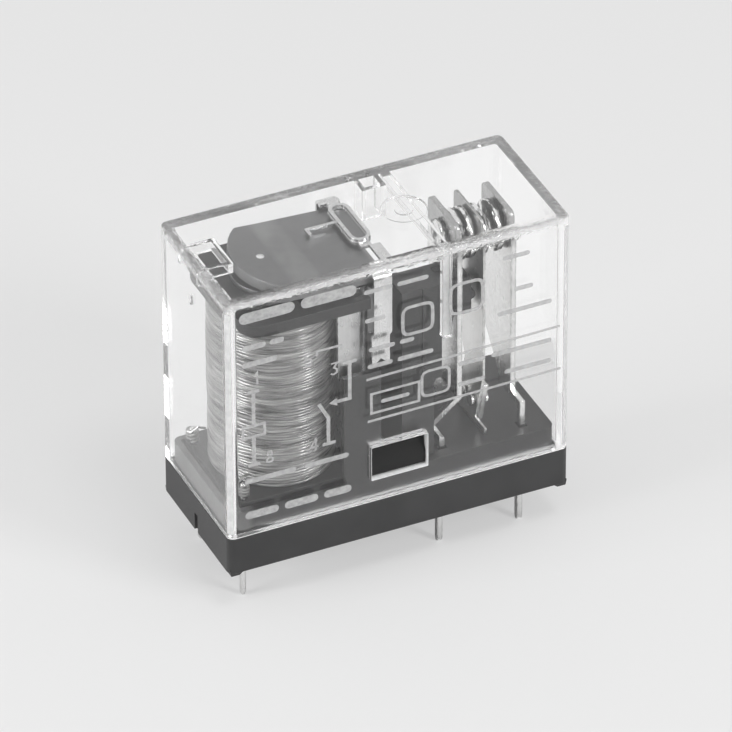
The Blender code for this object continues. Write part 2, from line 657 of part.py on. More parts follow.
def cross_rib():
    """Rib across the roof, deeper at the front wall, that stands beyond the barrier."""
    left = CROSS_RIB_LEFT
    right = CROSS_RIB_LEFT + CROSS_RIB_THICKNESS
    wall = INNER_HALF_WIDTH + COVER_WALL / 2
    top = ROOF_UNDER + COVER_ROOF / 2
    step = -INNER_HALF_WIDTH + HANGING_RIB_WIDTH
    outline = [(-wall, top), (-wall, ROOF_UNDER - HANGING_RIB_DEPTH), (step, ROOF_UNDER - HANGING_RIB_DEPTH)]
    outline += [(step, ROOF_UNDER - CROSS_RIB_DEPTH), (wall, ROOF_UNDER - CROSS_RIB_DEPTH), (wall, top)]
    return prism(outline, left, right, "X")


def edge_levels(top, radius, steps, low):
    """Levels of a block whose top edge is rounded."""
    rounds = [(top - radius + radius * math.sin(math.pi / 2 * i / steps),
               radius - radius * math.cos(math.pi / 2 * i / steps)) for i in range(steps + 1)]
    return [(low, 0.0)] + rounds


def make_cover(look):
    """Clear cover: thin box with round edges, ribs, gate recess, vent and two latch windows."""
    low = SEAM_Z + RUN_GAP
    outer = rounded_block(LENGTH / 2, WIDTH / 2, CORNER_RADIUS,
                          edge_levels(TOP_Z, COVER_EDGE_RADIUS, COVER_EDGE_STEPS, low))
    inner_radius = CORNER_RADIUS / 2
    cavity = rounded_block(INNER_HALF_LENGTH, INNER_HALF_WIDTH, inner_radius,
                           [(low - BASE_HEIGHT, 0.0), (ROOF_UNDER, 0.0)])
    body = cut(outer, cavity)
    body = join(body, end_rib(), rear_rib(), cross_rib())
    gate = turned([(0, TOP_Z - GATE_DEPTH / 2), (GATE_NUB_RADIUS, TOP_Z - GATE_DEPTH / 2),
                   (GATE_NUB_RADIUS, TOP_Z - GATE_DEPTH), (GATE_RADIUS, TOP_Z - GATE_DEPTH),
                   (GATE_RADIUS, TOP_Z + GATE_DEPTH), (0, TOP_Z + GATE_DEPTH)], (GATE_X, 0))
    vent_z = ROOF_UNDER - VENT_BELOW_ROOF
    vent = box(-LENGTH, -INNER_HALF_LENGTH + COVER_WALL, VENT_Y - VENT_WIDTH / 2, VENT_Y + VENT_WIDTH / 2,
               vent_z - VENT_HEIGHT / 2, vent_z + VENT_HEIGHT / 2)
    body = cut(body, gate, vent, window_cutter())
    return add_object("cover", body, look)


def bobbin_top_flange():
    """Upper flange with round corners at the coil end and an arm on each side of the yoke."""
    corner = FLANGE_CORNER
    center_x, center_y = FLANGE_LEFT + corner, FLANGE_HALF_WIDTH - corner
    arm_end = YOKE_RIGHT - FLANGE_ARM_SHORT
    notch_half = YOKE_HALF_WIDTH + SEAT_GAP
    notch_x = YOKE_LEFT - SEAT_GAP
    outline = arc((center_x, center_y), corner, 90, 180, CORNER_STEPS)
    outline += arc((center_x, -center_y), corner, 180, 270, CORNER_STEPS)
    outline += [(arm_end, -FLANGE_HALF_WIDTH), (arm_end, -notch_half), (notch_x, -notch_half)]
    outline += [(notch_x, notch_half), (arm_end, notch_half), (arm_end, FLANGE_HALF_WIDTH)]
    return prism(outline, TOP_FLANGE_Z, TOP_FLANGE_TOP)


def bobbin_bottom_flange():
    """Lower flange on two legs that stand beside the yoke in the base's well."""
    right = YOKE_LEFT - SEAT_GAP
    half = WELL_HALF_WIDTH - SEAT_GAP
    flange = box(WELL_LEFT + SEAT_GAP, right, -half, half, BOTTOM_FLANGE_Z, BOTTOM_FLANGE_TOP)
    leg_inner = YOKE_HALF_WIDTH + SEAT_GAP
    leg_top = BOTTOM_FLANGE_TOP - FLANGE_THICKNESS / 2
    leg = box(right - BOBBIN_LEG_LENGTH, right, leg_inner, half, YOKE_FLOOR, leg_top)
    return join(flange, *both_sides(leg))


def make_bobbin(look):
    """Bobbin: tube between two flanges, bored for the core and for the coil terminals."""
    tube = column(TUBE_RADIUS, BOTTOM_FLANGE_Z, TOP_FLANGE_TOP, COIL_X)
    body = join(tube, bobbin_top_flange(), bobbin_bottom_flange())
    body = cut(body, column(CORE_RADIUS + RUN_GAP, YOKE_FLOOR, YOKE_TOP, COIL_X))
    hole = column(COIL_PIN_RADIUS + SLOT_GAP, YOKE_FLOOR, COIL_PIN_TOP, COIL_PIN_X, PIN_ROW_Y, 12)
    return add_object("bobbin", cut(body, *both_sides(hole)), look)


def make_winding(look):
    """Winding with fine ridges of wire layers between the flanges."""
    low = BOTTOM_FLANGE_TOP + SEAT_GAP
    high = TOP_FLANGE_Z - SEAT_GAP
    inner = TUBE_RADIUS + SEAT_GAP
    rows = 2 * WINDING_RIDGES
    step = (high - low - 2 * WINDING_EDGE) / rows
    outer = [(WINDING_RADIUS - WINDING_RIDGE * (i % 2), low + WINDING_EDGE + step * i)
             for i in range(rows + 1)]
    profile = [(inner, low), (WINDING_RADIUS - WINDING_EDGE, low)] + outer
    profile += [(WINDING_RADIUS - WINDING_EDGE, high), (inner, high)]
    return add_object("coil_winding", turned(profile, (COIL_X, 0)), look)


def make_core(look):
    """Core with a broad pole face and a thinner tail through the yoke."""
    shoulder = YOKE_PLATE_TOP + SEAT_GAP
    head_low = YOKE_TOP - CORE_HEAD_HEIGHT
    profile = [(0, YOKE_FLOOR), (CORE_TAIL_RADIUS, YOKE_FLOOR), (CORE_TAIL_RADIUS, shoulder)]
    profile += [(CORE_RADIUS, shoulder), (CORE_RADIUS, head_low), (CORE_HEAD_RADIUS, head_low)]
    profile += [(CORE_HEAD_RADIUS, YOKE_TOP), (0, YOKE_TOP)]
    return add_object("core", turned(profile, (COIL_X, 0)), look)


def yoke_corner():
    """Cutter that rounds the rear right edge of the yoke's arm."""
    radius = YOKE_CORNER
    outline = arc((YOKE_RIGHT - radius, YOKE_HALF_WIDTH - radius), radius, 0, 90, CORNER_STEPS)
    right, rear = YOKE_RIGHT + RUN_GAP, YOKE_HALF_WIDTH + RUN_GAP
    outline += [(YOKE_RIGHT - radius, rear), (right, rear), (right, YOKE_HALF_WIDTH - radius)]
    return prism(outline, YOKE_PLATE_TOP, TOP_Z)


def make_yoke(look):
    """Yoke: plate under the coil, arm beside it and a lip along each edge of the arm."""
    left = COIL_PIN_X + COIL_PIN_FROM_YOKE
    half = YOKE_HALF_WIDTH
    chamfer = YOKE_THICKNESS / 3
    outline = [(left, YOKE_FLOOR), (YOKE_RIGHT - chamfer, YOKE_FLOOR), (YOKE_RIGHT, YOKE_FLOOR + chamfer)]
    outline += [(YOKE_RIGHT, YOKE_TOP), (YOKE_LEFT, YOKE_TOP)]
    outline += [(YOKE_LEFT, YOKE_PLATE_TOP), (left, YOKE_PLATE_TOP)]
    lip = box(YOKE_LEFT - YOKE_LIP_LENGTH, YOKE_LEFT + YOKE_LIP_THICKNESS, half - YOKE_LIP_THICKNESS, half,
              YOKE_LIP_Z, TOP_FLANGE_Z - SEAT_GAP)
    body = join(prism(outline, -half, half, "Y"), *both_sides(lip))
    hole = column(CORE_TAIL_RADIUS + RUN_GAP, 0, BOTTOM_FLANGE_Z, COIL_X)
    return add_object("yoke", cut(body, hole, *both_sides(yoke_corner())), look)


def armature_path():
    """Middle line of the armature sheet at rest, from its free end to the tip of its leg."""
    rise = ARMATURE_SWING
    kink_rise = rise + math.radians(ARMATURE_KINK_DEG)
    height = RUN_GAP + ARMATURE_THICKNESS / 2
    start = Vector((HINGE.x, HINGE.z)) + Vector((math.sin(rise), math.cos(rise))) * height
    back = Vector((-math.cos(rise), math.sin(rise)))
    kink_length = YOKE_RIGHT - COIL_X - ARMATURE_KINK_BEFORE_CORE
    kink = start + back * kink_length
    end = kink + Vector((-math.cos(kink_rise), math.sin(kink_rise))) * (ARMATURE_LENGTH - kink_length)
    leg_x = YOKE_RIGHT + SEAT_GAP + ARMATURE_THICKNESS / 2
    radius = ARMATURE_BEND_RADIUS
    turn = math.pi / 2 - rise
    level = start.y - (leg_x - start.x) * math.tan(rise)
    setback = radius * math.tan(turn / 2)
    bend_start = Vector((leg_x, level)) + back * setback
    center = bend_start - Vector((math.sin(rise), math.cos(rise))) * radius
    bend = [center + Vector((math.sin(rise + turn * i / ARMATURE_BEND_STEPS),
                             math.cos(rise + turn * i / ARMATURE_BEND_STEPS))) * radius
            for i in range(ARMATURE_BEND_STEPS + 1)]
    tip = Vector((leg_x, CARD_Z - LEG_TIP))
    return [tuple(point) for point in [end, kink] + bend + [tip]]


def make_armature(look, pivot):
    """Armature: plate with a round end over the pole face, bent down into a narrow leg."""
    path = armature_path()
    total = path_length(path, len(path) - 1)
    bend_end = path_length(path, len(path) - 2)
    half = ARMATURE_HALF_WIDTH
    radius = ARMATURE_END_RADIUS
    corner = math.degrees(math.asin(half / radius))
    round_end = [(x, radius + y) for x, y in arc((0, 0), radius, 270 - corner, 270 + corner, 12)]
    shoulder = bend_end + LEG_SHOULDER
    leg = [(half, shoulder - LEG_SHOULDER / 2), (LEG_HALF_WIDTH, shoulder), (LEG_HALF_WIDTH, total)]
    outline = round_end + leg + [(-x, y) for x, y in leg[::-1]]
    top = ARMATURE_THICKNESS / 2
    dimple_y = CORE_HEAD_RADIUS - DIMPLE_BEYOND_CORE
    dimple = column(DIMPLE_RADIUS, top - DIMPLE_DEPTH, 2 * top, 0, dimple_y, 12)
    sheet = cut(flat_sheet(outline, ARMATURE_THICKNESS), dimple)
    return add_object("armature", fold(sheet, path, "Y"), look, pivot)


def spring_path():
    """Middle line of the hinge spring, up the front leg, over the armature and down the rear leg."""
    half = SPRING_HALF_WIDTH - SPRING_SHEET / 2
    top = SPRING_MIDDLE_Z
    bottom = top - SPRING_LEG_LENGTH
    radius = SPRING_BEND_RADIUS
    front = arc((-half + radius, top - radius), radius, 180, 90, SPRING_BEND_STEPS)
    rear = arc((half - radius, top - radius), radius, 90, 0, SPRING_BEND_STEPS)
    return [(-half, bottom)] + front + rear + [(half, bottom)]


def spring_end(ear, across, neck):
    """Left and right edges of one end of the spring's blank, from the leg's tip to the ring's neck."""
    step, shift = SPRING_LEG_STEP, SPRING_LEG_SHIFT
    left, right = SPRING_LEG_LEFT, SPRING_LEG_RIGHT
    left_edge = [(left - shift, 0.0), (left - shift, step), (left, step + shift), (left, across)]
    left_edge += [(ear[0], across + shift), (ear[0], neck), (-SPRING_NECK_HALF, neck)]
    right_edge = [(right - shift, 0.0), (right - shift, step), (right, step + shift), (right, across)]
    right_edge += [(ear[1], across + shift), (ear[1], neck), (SPRING_NECK_HALF, neck)]
    return left_edge, right_edge


def spring_blank(total, across):
    """Outline of the spring's flat blank, with the ring's outer edge and the hooked tongue."""
    reach = (RING_LENGTH - RING_WIDTH) / 2
    radius = RING_WIDTH / 2
    middle = total / 2 + RING_Y
    open_angle = math.degrees(math.asin(SPRING_NECK_HALF / radius))
    fork = [((SPRING_LEG_LEFT + SPRING_LEG_RIGHT) / 2 - SPRING_LEG_SHIFT, SPRING_FORK)]
    front_left, front_right = spring_end(FRONT_EAR, across, middle - RING_LENGTH / 2 - EAR_GAP)
    rear_left, rear_right = spring_end(REAR_EAR, across, total - middle - RING_LENGTH / 2 - EAR_GAP)
    rear_left, rear_right, rear_fork = [[(x, total - y) for x, y in side]
                                        for side in (rear_left, rear_right, fork)]
    tongue_y = middle + reach - TONGUE_FROM_RING_END
    half, tip = TONGUE_WIDTH / 2, -radius - TONGUE_LENGTH
    tongue = [(-radius, tongue_y - half), (tip + TONGUE_WIDTH, tongue_y - half)]
    tongue += [(tip + TONGUE_WIDTH, tongue_y - TONGUE_HOOK), (tip, tongue_y - TONGUE_HOOK)]
    tongue += [(tip, tongue_y + half), (-radius, tongue_y + half)]
    left_ring = arc((0, middle - reach), radius, 270 - open_angle, 180, 6) + tongue
    left_ring += arc((0, middle + reach), radius, 180, 90 + open_angle, 6)
    right_ring = arc((0, middle + reach), radius, 90 - open_angle, 0, 6)
    right_ring += arc((0, middle - reach), radius, 0, open_angle - 90, 6)
    left_side = front_left + left_ring + rear_left[::-1]
    right_side = rear_right + right_ring + front_right[::-1]
    return left_side + rear_fork + right_side + fork


def make_hinge_spring(look):
    """Hinge spring: legs on both sides of the yoke, joined by a strip with a raised ring."""
    path = spring_path()
    total = path_length(path, len(path) - 1)
    outline = spring_blank(total, path_length(path, 1 + SPRING_BEND_STEPS))
    middle = total / 2 + RING_Y
    inner, outer, bore = [obround(RING_LENGTH - 2 * inset, RING_WIDTH - 2 * inset)
                          for inset in (RING_STROKE, RING_STEP, RING_STROKE - RING_STEP)]
    sheet = cut(prism(outline, -SPRING_SHEET / 2, SPRING_SHEET / 2),
                prism(shifted(inner, 0, middle), -SPRING_SHEET, SPRING_SHEET))
    bead = cut(prism(shifted(outer, 0, middle), 0, RING_HEIGHT - SPRING_SHEET / 2),
               prism(shifted(bore, 0, middle), -RING_HEIGHT, RING_HEIGHT))
    body = fold(join(sheet, bead), path, "X")
    body.transform(Matrix.Translation((SPRING_X, 0, 0)))
    return add_object("hinge_spring", body, look)


def pin_tip(center, total):
    """Round tip of a flat pin in a sheet's blank, from its low side to its high side."""
    half = PIN_WIDTH / 2
    return [(center - half, total - PIN_TIP), (center - half / 2, total),
            (center + half / 2, total), (center + half, total - PIN_TIP)]


def blade_head():
    """Round corners at the top of a blade's blank, the low side first."""
    radius = BLADE_CORNER
    half = BLADE_HALF_WIDTH
    low = arc((radius - half, radius), radius, 270, 180, 3)
    high = arc((half - radius, radius), radius, 0, -90, 3)
    return low, high


def terminal_blank(path, root):
    """Flat blank of a fixed contact terminal: wide blade, tapered root, foot and pin."""
    half = BLADE_HALF_WIDTH
    total = path_length(path, len(path) - 1)
    foot_end = root + TERMINAL_FOOT_HEIGHT
    root_right = TERMINAL_ROOT_WIDTH - half
    low_corner, high_corner = blade_head()
    outline = low_corner + [(-half, root), (-PIN_ROW_Y - PIN_WIDTH / 2, root)]
    outline += pin_tip(-PIN_ROW_Y, total)
    outline += [(-PIN_ROW_Y + PIN_WIDTH / 2, foot_end), (root_right, foot_end)]
    outline += [(root_right, root - TERMINAL_FOOT_HEIGHT)]
    outline += [(half, BLADE_TOP - PLATEAU_Z - TERMINAL_TAPER_RISE)]
    return outline + high_corner


def contact_hole():
    """Outline of the hole for a contact's shank in a blade's blank."""
    return circle(0, BLADE_TOP - CONTACT_Z, SHANK_RADIUS + RUN_GAP)


def card_window():
    """Outline of the break blade's window, which the card passes through."""
    half = CARD_HALF_WIDTH + CARD_WINDOW_GAP
    reach = CARD_HEIGHT / 2 + CARD_WINDOW_GAP
    middle = BLADE_TOP - CARD_Z
    return [(-half, middle - reach), (half, middle - reach), (half, middle + reach), (-half, middle + reach)]


def make_break_terminal(look):
    """Break terminal: blade with a window for the card, cranked down to its pin."""
    path = [(BREAK_X, BLADE_TOP), (BREAK_X, PLATEAU_Z + BREAK_BEND_RISE)]
    path += [(BREAK_FOOT_X, PLATEAU_Z + BREAK_FOOT_RISE), (BREAK_FOOT_X, PIN_TIP_Z)]
    outline = terminal_blank(path, path_length(path, 2))
    sheet = flat_sheet(outline, BLADE_THICKNESS, [card_window(), contact_hole()])
    return add_object("break_terminal", fold(sheet, path, "Y"), look)


def make_make_terminal(look):
    """Make terminal: straight blade down to its pin."""
    path = [(MAKE_X, BLADE_TOP), (MAKE_X, PIN_TIP_Z)]
    outline = terminal_blank(path, BLADE_TOP - PLATEAU_Z - MAKE_FOOT_RISE)
    sheet = flat_sheet(outline, BLADE_THICKNESS, [contact_hole()])
    return add_object("make_terminal", fold(sheet, path, "Y"), look)


def blade_lean():
    """Unit vector up the slanting root of the moving blade, in X and Z."""
    bend = Vector((MOVING_X, PLATEAU_Z + MOVING_BEND_RISE))
    return (bend - Vector((MOVING_ROOT_X, MOVING_ROOT_Z))).normalized()


def common_tab_x(height):
    """Middle of the common terminal's tab at a height, beside the moving blade's root."""
    lean = blade_lean()
    offset = (MOVING_SHEET + BLADE_THICKNESS) / 2 + COMMON_TAB_GAP
    return MOVING_ROOT_X + (height - MOVING_ROOT_Z) * lean.x / lean.y + offset / lean.y


def make_common_terminal(look):
    """Common terminal: slanting tab beside the moving blade's root, with its pin at the rear."""
    foot_x = common_tab_x(MOVING_ROOT_Z)
    tab_top = PLATEAU_Z + COMMON_TAB_RISE
    path = [(common_tab_x(tab_top), tab_top), (foot_x, MOVING_ROOT_Z), (foot_x, PIN_TIP_Z)]
    root = path_length(path, 1)
    total = path_length(path, 2)
    left = SEAT_GAP - BLADE_HALF_WIDTH
    right = left + COMMON_TAB_WIDTH
    foot_top = root - TERMINAL_FOOT_HEIGHT
    outline = [(left, 0.0), (left, root), (PIN_ROW_Y - PIN_WIDTH / 2, root)] + pin_tip(PIN_ROW_Y, total)
    outline += [(PIN_ROW_Y + PIN_WIDTH / 2, foot_top), (right, foot_top), (right, 0.0)]
    along = (tab_top - BLADE_RIVET_Z) / blade_lean().y
    holes = [circle(y, along, BLADE_RIVET_RADIUS + SLOT_GAP, 12) for y in rivet_places()]
    sheet = flat_sheet(outline, BLADE_THICKNESS, holes)
    return add_object("common_terminal", fold(sheet, path, "Y"), look)


def rivet_places():
    """Places of the root rivets across the moving blade."""
    middle = -BLADE_HALF_WIDTH + MOVING_ROOT_WIDTH / 2
    return [middle - BLADE_RIVET_PITCH / 2, middle + BLADE_RIVET_PITCH / 2]


def make_moving_blade(look, pivot):
    """Moving blade: thin spring sheet, slanting in to its root, with a foot at the front."""
    bend_z = PLATEAU_Z + MOVING_BEND_RISE
    path = [(MOVING_X, BLADE_TOP), (MOVING_X, bend_z), (MOVING_ROOT_X, MOVING_ROOT_Z)]
    total = path_length(path, 2)
    half = BLADE_HALF_WIDTH
    foot_top = total - MOVING_FOOT_HEIGHT
    foot_left = -PIN_ROW_Y - PIN_WIDTH / 2
    root_right = MOVING_ROOT_WIDTH - half
    low_corner, high_corner = blade_head()
    outline = low_corner + [(-half, foot_top), (foot_left, foot_top), (foot_left, total), (root_right, total)]
    outline += [(root_right, BLADE_TOP - bend_z)]
    outline += [(half, BLADE_TOP - PLATEAU_Z - MOVING_TAPER_RISE)] + high_corner
    along = total - (BLADE_RIVET_Z - MOVING_ROOT_Z) / blade_lean().y
    holes = [circle(y, along, BLADE_RIVET_RADIUS + SLOT_GAP, 12) for y in rivet_places()]
    sheet = flat_sheet(outline, MOVING_SHEET, holes + [contact_hole()])
    return add_object("moving_blade", fold(sheet, path, "Y"), look, pivot)


def rivet_profile(shank, head_radius, head, tail_radius, tail, grip):
    """Closed outline of a rivet about +Z: tail below zero height, head above the grip."""
    edge = head / 4
    top = grip + head
    return [(0, -tail), (tail_radius, -tail), (tail_radius, 0), (shank, 0), (shank, grip),
            (head_radius, grip), (head_radius, top - edge), (head_radius - edge, top), (0, top)]


def make_break_contact(look):
    """Break contact: rivet through the break blade, head towards the moving contact."""
    grip = BLADE_THICKNESS + 2 * RUN_GAP
    profile = rivet_profile(SHANK_RADIUS, CONTACT_RADIUS, FIXED_HEAD, TAIL_RADIUS, TAIL_HEIGHT, grip)
    mesh = along_x(turned(profile, steps=24), BREAK_X - grip / 2, 0, CONTACT_Z)
    return add_object("break_contact", mesh, look)


def make_make_contact(look):
    """Make contact: rivet through the make blade, head towards the moving contact."""
    grip = BLADE_THICKNESS + 2 * RUN_GAP
    profile = rivet_profile(SHANK_RADIUS, CONTACT_RADIUS, FIXED_HEAD, TAIL_RADIUS, TAIL_HEIGHT, grip)
    mesh = turned(profile, steps=24)
    mesh.transform(Matrix.Rotation(math.pi, 4, "Y"))
    return add_object("make_contact", along_x(mesh, MAKE_X + grip / 2, 0, CONTACT_Z), look)


def make_moving_contact(look, pivot):
    """Moving contact: double-headed rivet through the moving blade."""
    grip = MOVING_SHEET + 2 * RUN_GAP
    head = MOVING_FACE_OFFSET - grip / 2
    edge = head / 4
    radius = CONTACT_RADIUS
    low, top = grip / 2, grip / 2 + head
    half = [(SHANK_RADIUS, low), (radius, low), (radius, top - edge), (radius - edge, top), (0, top)]
    profile = [(r, -h) for r, h in half[::-1]] + half
    mesh = along_x(turned(profile, steps=24), MOVING_X, 0, CONTACT_Z)
    return add_object("moving_contact", mesh, look, pivot)


def make_blade_rivets(look):
    """Two small rivets that fasten the moving blade's root to the common terminal."""
    grip = MOVING_SHEET + COMMON_TAB_GAP + BLADE_THICKNESS + 2 * RUN_GAP
    profile = rivet_profile(BLADE_RIVET_RADIUS, BLADE_RIVET_HEAD, BLADE_RIVET_HEIGHT, BLADE_RIVET_HEAD,
                            BLADE_RIVET_HEIGHT, grip)
    lean = blade_lean()
    tilt = math.atan2(lean.x, lean.y)
    blade_x = MOVING_ROOT_X + (BLADE_RIVET_Z - MOVING_ROOT_Z) * lean.x / lean.y
    start = Matrix.Translation((0, 0, -(MOVING_SHEET / 2 + RUN_GAP)))
    turn = Matrix.Rotation(math.pi / 2 + tilt, 4, "Y")
    for name, y in zip(("blade_rivet_front", "blade_rivet_rear"), rivet_places()):
        mesh = turned(profile, steps=12)
        mesh.transform(Matrix.Translation((blade_x, y, BLADE_RIVET_Z)) @ turn @ start)
        add_object(name, mesh, look)


def make_coil_terminals(pin_look, lead_look):
    """Coil pins at the coil end, each with a wrapped lead that runs to the winding."""
    radius = COIL_PIN_RADIUS
    tip = radius / 2
    profile = [(0, PIN_TIP_Z), (tip, PIN_TIP_Z), (radius, PIN_TIP_Z + PIN_TIP)]
    profile += [(radius, COIL_PIN_TOP - tip), (tip, COIL_PIN_TOP), (0, COIL_PIN_TOP)]
    for name, sign in (("front", -1), ("rear", 1)):
        pin = turned(profile, (COIL_PIN_X, sign * PIN_ROW_Y), 12)
        add_object(f"coil_terminal_{name}", pin, pin_look)
        add_object(f"coil_lead_{name}", lead_mesh(sign), lead_look)


def lead_points(sign):
    """Middle line of a coil lead: turns round the pin, then a short run to the winding."""
    radius = COIL_PIN_RADIUS + RUN_GAP + LEAD_RADIUS
    rise = 3 * LEAD_RADIUS / LEAD_POINTS_PER_TURN
    low = BOTTOM_FLANGE_TOP + SEAT_GAP + LEAD_RADIUS
    pin = Vector((COIL_PIN_X, sign * PIN_ROW_Y, 0))
    center = Vector((COIL_X, 0, 0))
    to_pin = (pin - center).normalized()
    leave = math.atan2(-to_pin.y, -to_pin.x) - sign * math.pi / 2
    count = LEAD_TURNS * LEAD_POINTS_PER_TURN
    turn = sign * 2 * math.pi / LEAD_POINTS_PER_TURN
    angles = [leave + turn * (i - count) for i in range(count + 1)]
    wrap = [pin + Vector((radius * math.cos(angle), radius * math.sin(angle), low + rise * i))
            for i, angle in enumerate(angles)]
    end = center + to_pin * (WINDING_RADIUS + SEAT_GAP + LEAD_RADIUS)
    end.z = wrap[-1].z + LEAD_SAG
    middle = (wrap[-1] + end) / 2 + Vector((0, 0, LEAD_SAG))
    return wrap + [middle, end]


def lead_mesh(sign):
    """Round wire along a coil lead's middle line."""
    points = lead_points(sign)
    curve = bpy.data.curves.new("lead", "CURVE")
    curve.dimensions = "3D"
    curve.bevel_depth = LEAD_RADIUS
    curve.bevel_resolution = LEAD_SIDES // 2 - 2
    curve.use_fill_caps = True
    spline = curve.splines.new("POLY")
    spline.points.add(len(points) - 1)
    for target, point in zip(spline.points, points):
        target.co = (*point, 1.0)
    holder = bpy.data.objects.new("lead", curve)
    bpy.context.scene.collection.objects.link(holder)
    mesh = bpy.data.meshes.new_from_object(holder.evaluated_get(bpy.context.evaluated_depsgraph_get()))
    bpy.data.objects.remove(holder)
    bm = bmesh.new()
    bm.from_mesh(mesh)
    return finish_mesh(bm)


def card_bar():
    """Card's bar in plan: head before the barrier, neck through its slot, shoulders and neck."""
    left = YOKE_RIGHT + SEAT_GAP + ARMATURE_THICKNESS + RUN_GAP
    head_end = BARRIER_X - CARD_TRAVEL - RUN_GAP
    shoulder = BARRIER_X + BARRIER_WALL + RUN_GAP
    shoulder_end = shoulder + CARD_SHOULDER_LENGTH
    neck_start = shoulder_end + CARD_SHOULDER_LENGTH
    half, head, wide = CARD_HALF_WIDTH, CARD_HEAD_HALF_WIDTH, CARD_SHOULDER_HALF_WIDTH
    side = [(left, head), (head_end, head), (head_end, half), (shoulder, half), (shoulder, wide)]
    side += [(shoulder_end, wide), (neck_start, half), (card_nose_x(), half)]
    outline = side + [(x, -y) for x, y in side[::-1]]
    return prism(outline, CARD_Z - CARD_HEIGHT / 2, CARD_Z + CARD_HEIGHT / 2)


def card_nose_x():
    """Where the card's bar ends and its round nose begins."""
    return MOVING_X - MOVING_SHEET / 2 - RUN_GAP - CARD_NOSE


def make_card(look):
    """Card: bar with a round nose that pushes the moving blade, and a pocket in its top and bottom."""
    nose_x = card_nose_x()
    nose = arc((nose_x, CARD_Z), CARD_NOSE, 90, -90, CARD_NOSE_STEPS)
    nose += [(nose_x - CARD_NOSE, CARD_Z - CARD_NOSE), (nose_x - CARD_NOSE, CARD_Z + CARD_NOSE)]
    body = join(card_bar(), prism(nose, -CARD_HALF_WIDTH, CARD_HALF_WIDTH, "Y"))
    pocket_start = BREAK_X - BLADE_THICKNESS / 2 - CARD_POCKET_ROOM
    pocket_end = nose_x - CARD_POCKET_ROOM
    pocket_half = CARD_HALF_WIDTH - CARD_WAIST
    for face in (CARD_Z - CARD_HEIGHT / 2, CARD_Z + CARD_HEIGHT / 2):
        body = cut(body, box(pocket_start, pocket_end, -pocket_half, pocket_half,
                             face - CARD_WAIST, face + CARD_WAIST))
    return add_object("card", body, look)


def clear_scene():
    """Remove the scene's objects."""
    for obj in list(bpy.data.objects):
        bpy.data.objects.remove(obj)


def main():
    clear_scene()
    armature_hinge = joint_empty("armature_hinge", HINGE)
    blade_hinge = joint_empty("blade_hinge", Vector((MOVING_ROOT_X, 0.0, MOVING_ROOT_Z)))

    make_base(BLACK_PLASTIC)
    make_cover(CLEAR_PLASTIC)
    make_bobbin(BOBBIN_PLASTIC)
    make_winding(ENAMELLED_WIRE)
    make_core(PLATED_STEEL)
    make_yoke(YOKE_STEEL)
    make_armature(PLATED_STEEL, armature_hinge)
    make_hinge_spring(SPRING_STEEL)
    make_card(BLACK_PLASTIC)
    make_break_terminal(TINNED_BRASS)
    make_break_contact(CONTACT_SILVER)
    make_moving_blade(SPRING_BRONZE, blade_hinge)
    make_moving_contact(CONTACT_SILVER, blade_hinge)
    make_common_terminal(TINNED_BRASS)
    make_blade_rivets(TINNED_BRASS)
    make_make_terminal(TINNED_BRASS)
    make_make_contact(CONTACT_SILVER)
    make_coil_terminals(TINNED_BRASS, ENAMELLED_WIRE)


main()
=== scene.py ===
import json
import math

import bmesh
import bpy
import numpy as np
from mathutils import Matrix, Vector


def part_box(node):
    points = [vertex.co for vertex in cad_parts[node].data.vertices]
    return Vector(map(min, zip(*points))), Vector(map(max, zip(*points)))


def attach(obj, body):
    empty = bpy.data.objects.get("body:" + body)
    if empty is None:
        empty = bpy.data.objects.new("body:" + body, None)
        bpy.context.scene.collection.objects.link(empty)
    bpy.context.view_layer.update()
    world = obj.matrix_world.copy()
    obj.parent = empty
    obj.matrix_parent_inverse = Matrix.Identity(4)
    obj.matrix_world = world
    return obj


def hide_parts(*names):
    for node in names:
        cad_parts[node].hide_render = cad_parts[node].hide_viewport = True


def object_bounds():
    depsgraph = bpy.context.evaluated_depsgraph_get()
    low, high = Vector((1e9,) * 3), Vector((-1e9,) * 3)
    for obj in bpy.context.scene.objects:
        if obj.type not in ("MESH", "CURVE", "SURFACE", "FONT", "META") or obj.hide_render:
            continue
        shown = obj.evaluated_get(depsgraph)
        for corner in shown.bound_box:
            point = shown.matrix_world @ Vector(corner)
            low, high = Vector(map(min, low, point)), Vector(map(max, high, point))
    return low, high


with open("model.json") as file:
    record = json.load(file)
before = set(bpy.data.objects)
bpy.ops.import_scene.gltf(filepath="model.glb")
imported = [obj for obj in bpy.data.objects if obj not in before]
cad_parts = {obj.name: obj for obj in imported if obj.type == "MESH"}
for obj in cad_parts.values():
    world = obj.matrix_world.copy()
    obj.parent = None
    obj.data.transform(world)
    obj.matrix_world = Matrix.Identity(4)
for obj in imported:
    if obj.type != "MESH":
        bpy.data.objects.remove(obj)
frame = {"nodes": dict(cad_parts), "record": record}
CAD_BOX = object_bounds()
NODES = frame["nodes"]
BODY_OF = {node: body for body, members in frame["record"]["behaviour"]["bodies"].items() for node in members}
SLOT_OF = {
    "base": "black_moulding", "cover": "clear_moulding", "bobbin": "bobbin_moulding",
    "coil_winding": "winding_wire", "core": "plated_steel", "yoke": "yoke_steel",
    "armature": "plated_steel", "hinge_spring": "spring_steel", "card": "card_moulding",
    "break_terminal": "tinned_brass", "make_terminal": "tinned_brass", "common_terminal": "tinned_brass",
    "coil_terminal_front": "tinned_brass", "coil_terminal_rear": "tinned_brass",
    "break_contact": "contact_silver", "make_contact": "contact_silver", "moving_contact": "contact_silver",
    "moving_blade": "spring_bronze", "blade_rivet_front": "tinned_brass", "blade_rivet_rear": "tinned_brass",
    "coil_lead_front": "lead_wire", "coil_lead_rear": "lead_wire",
}
MM = 0.001
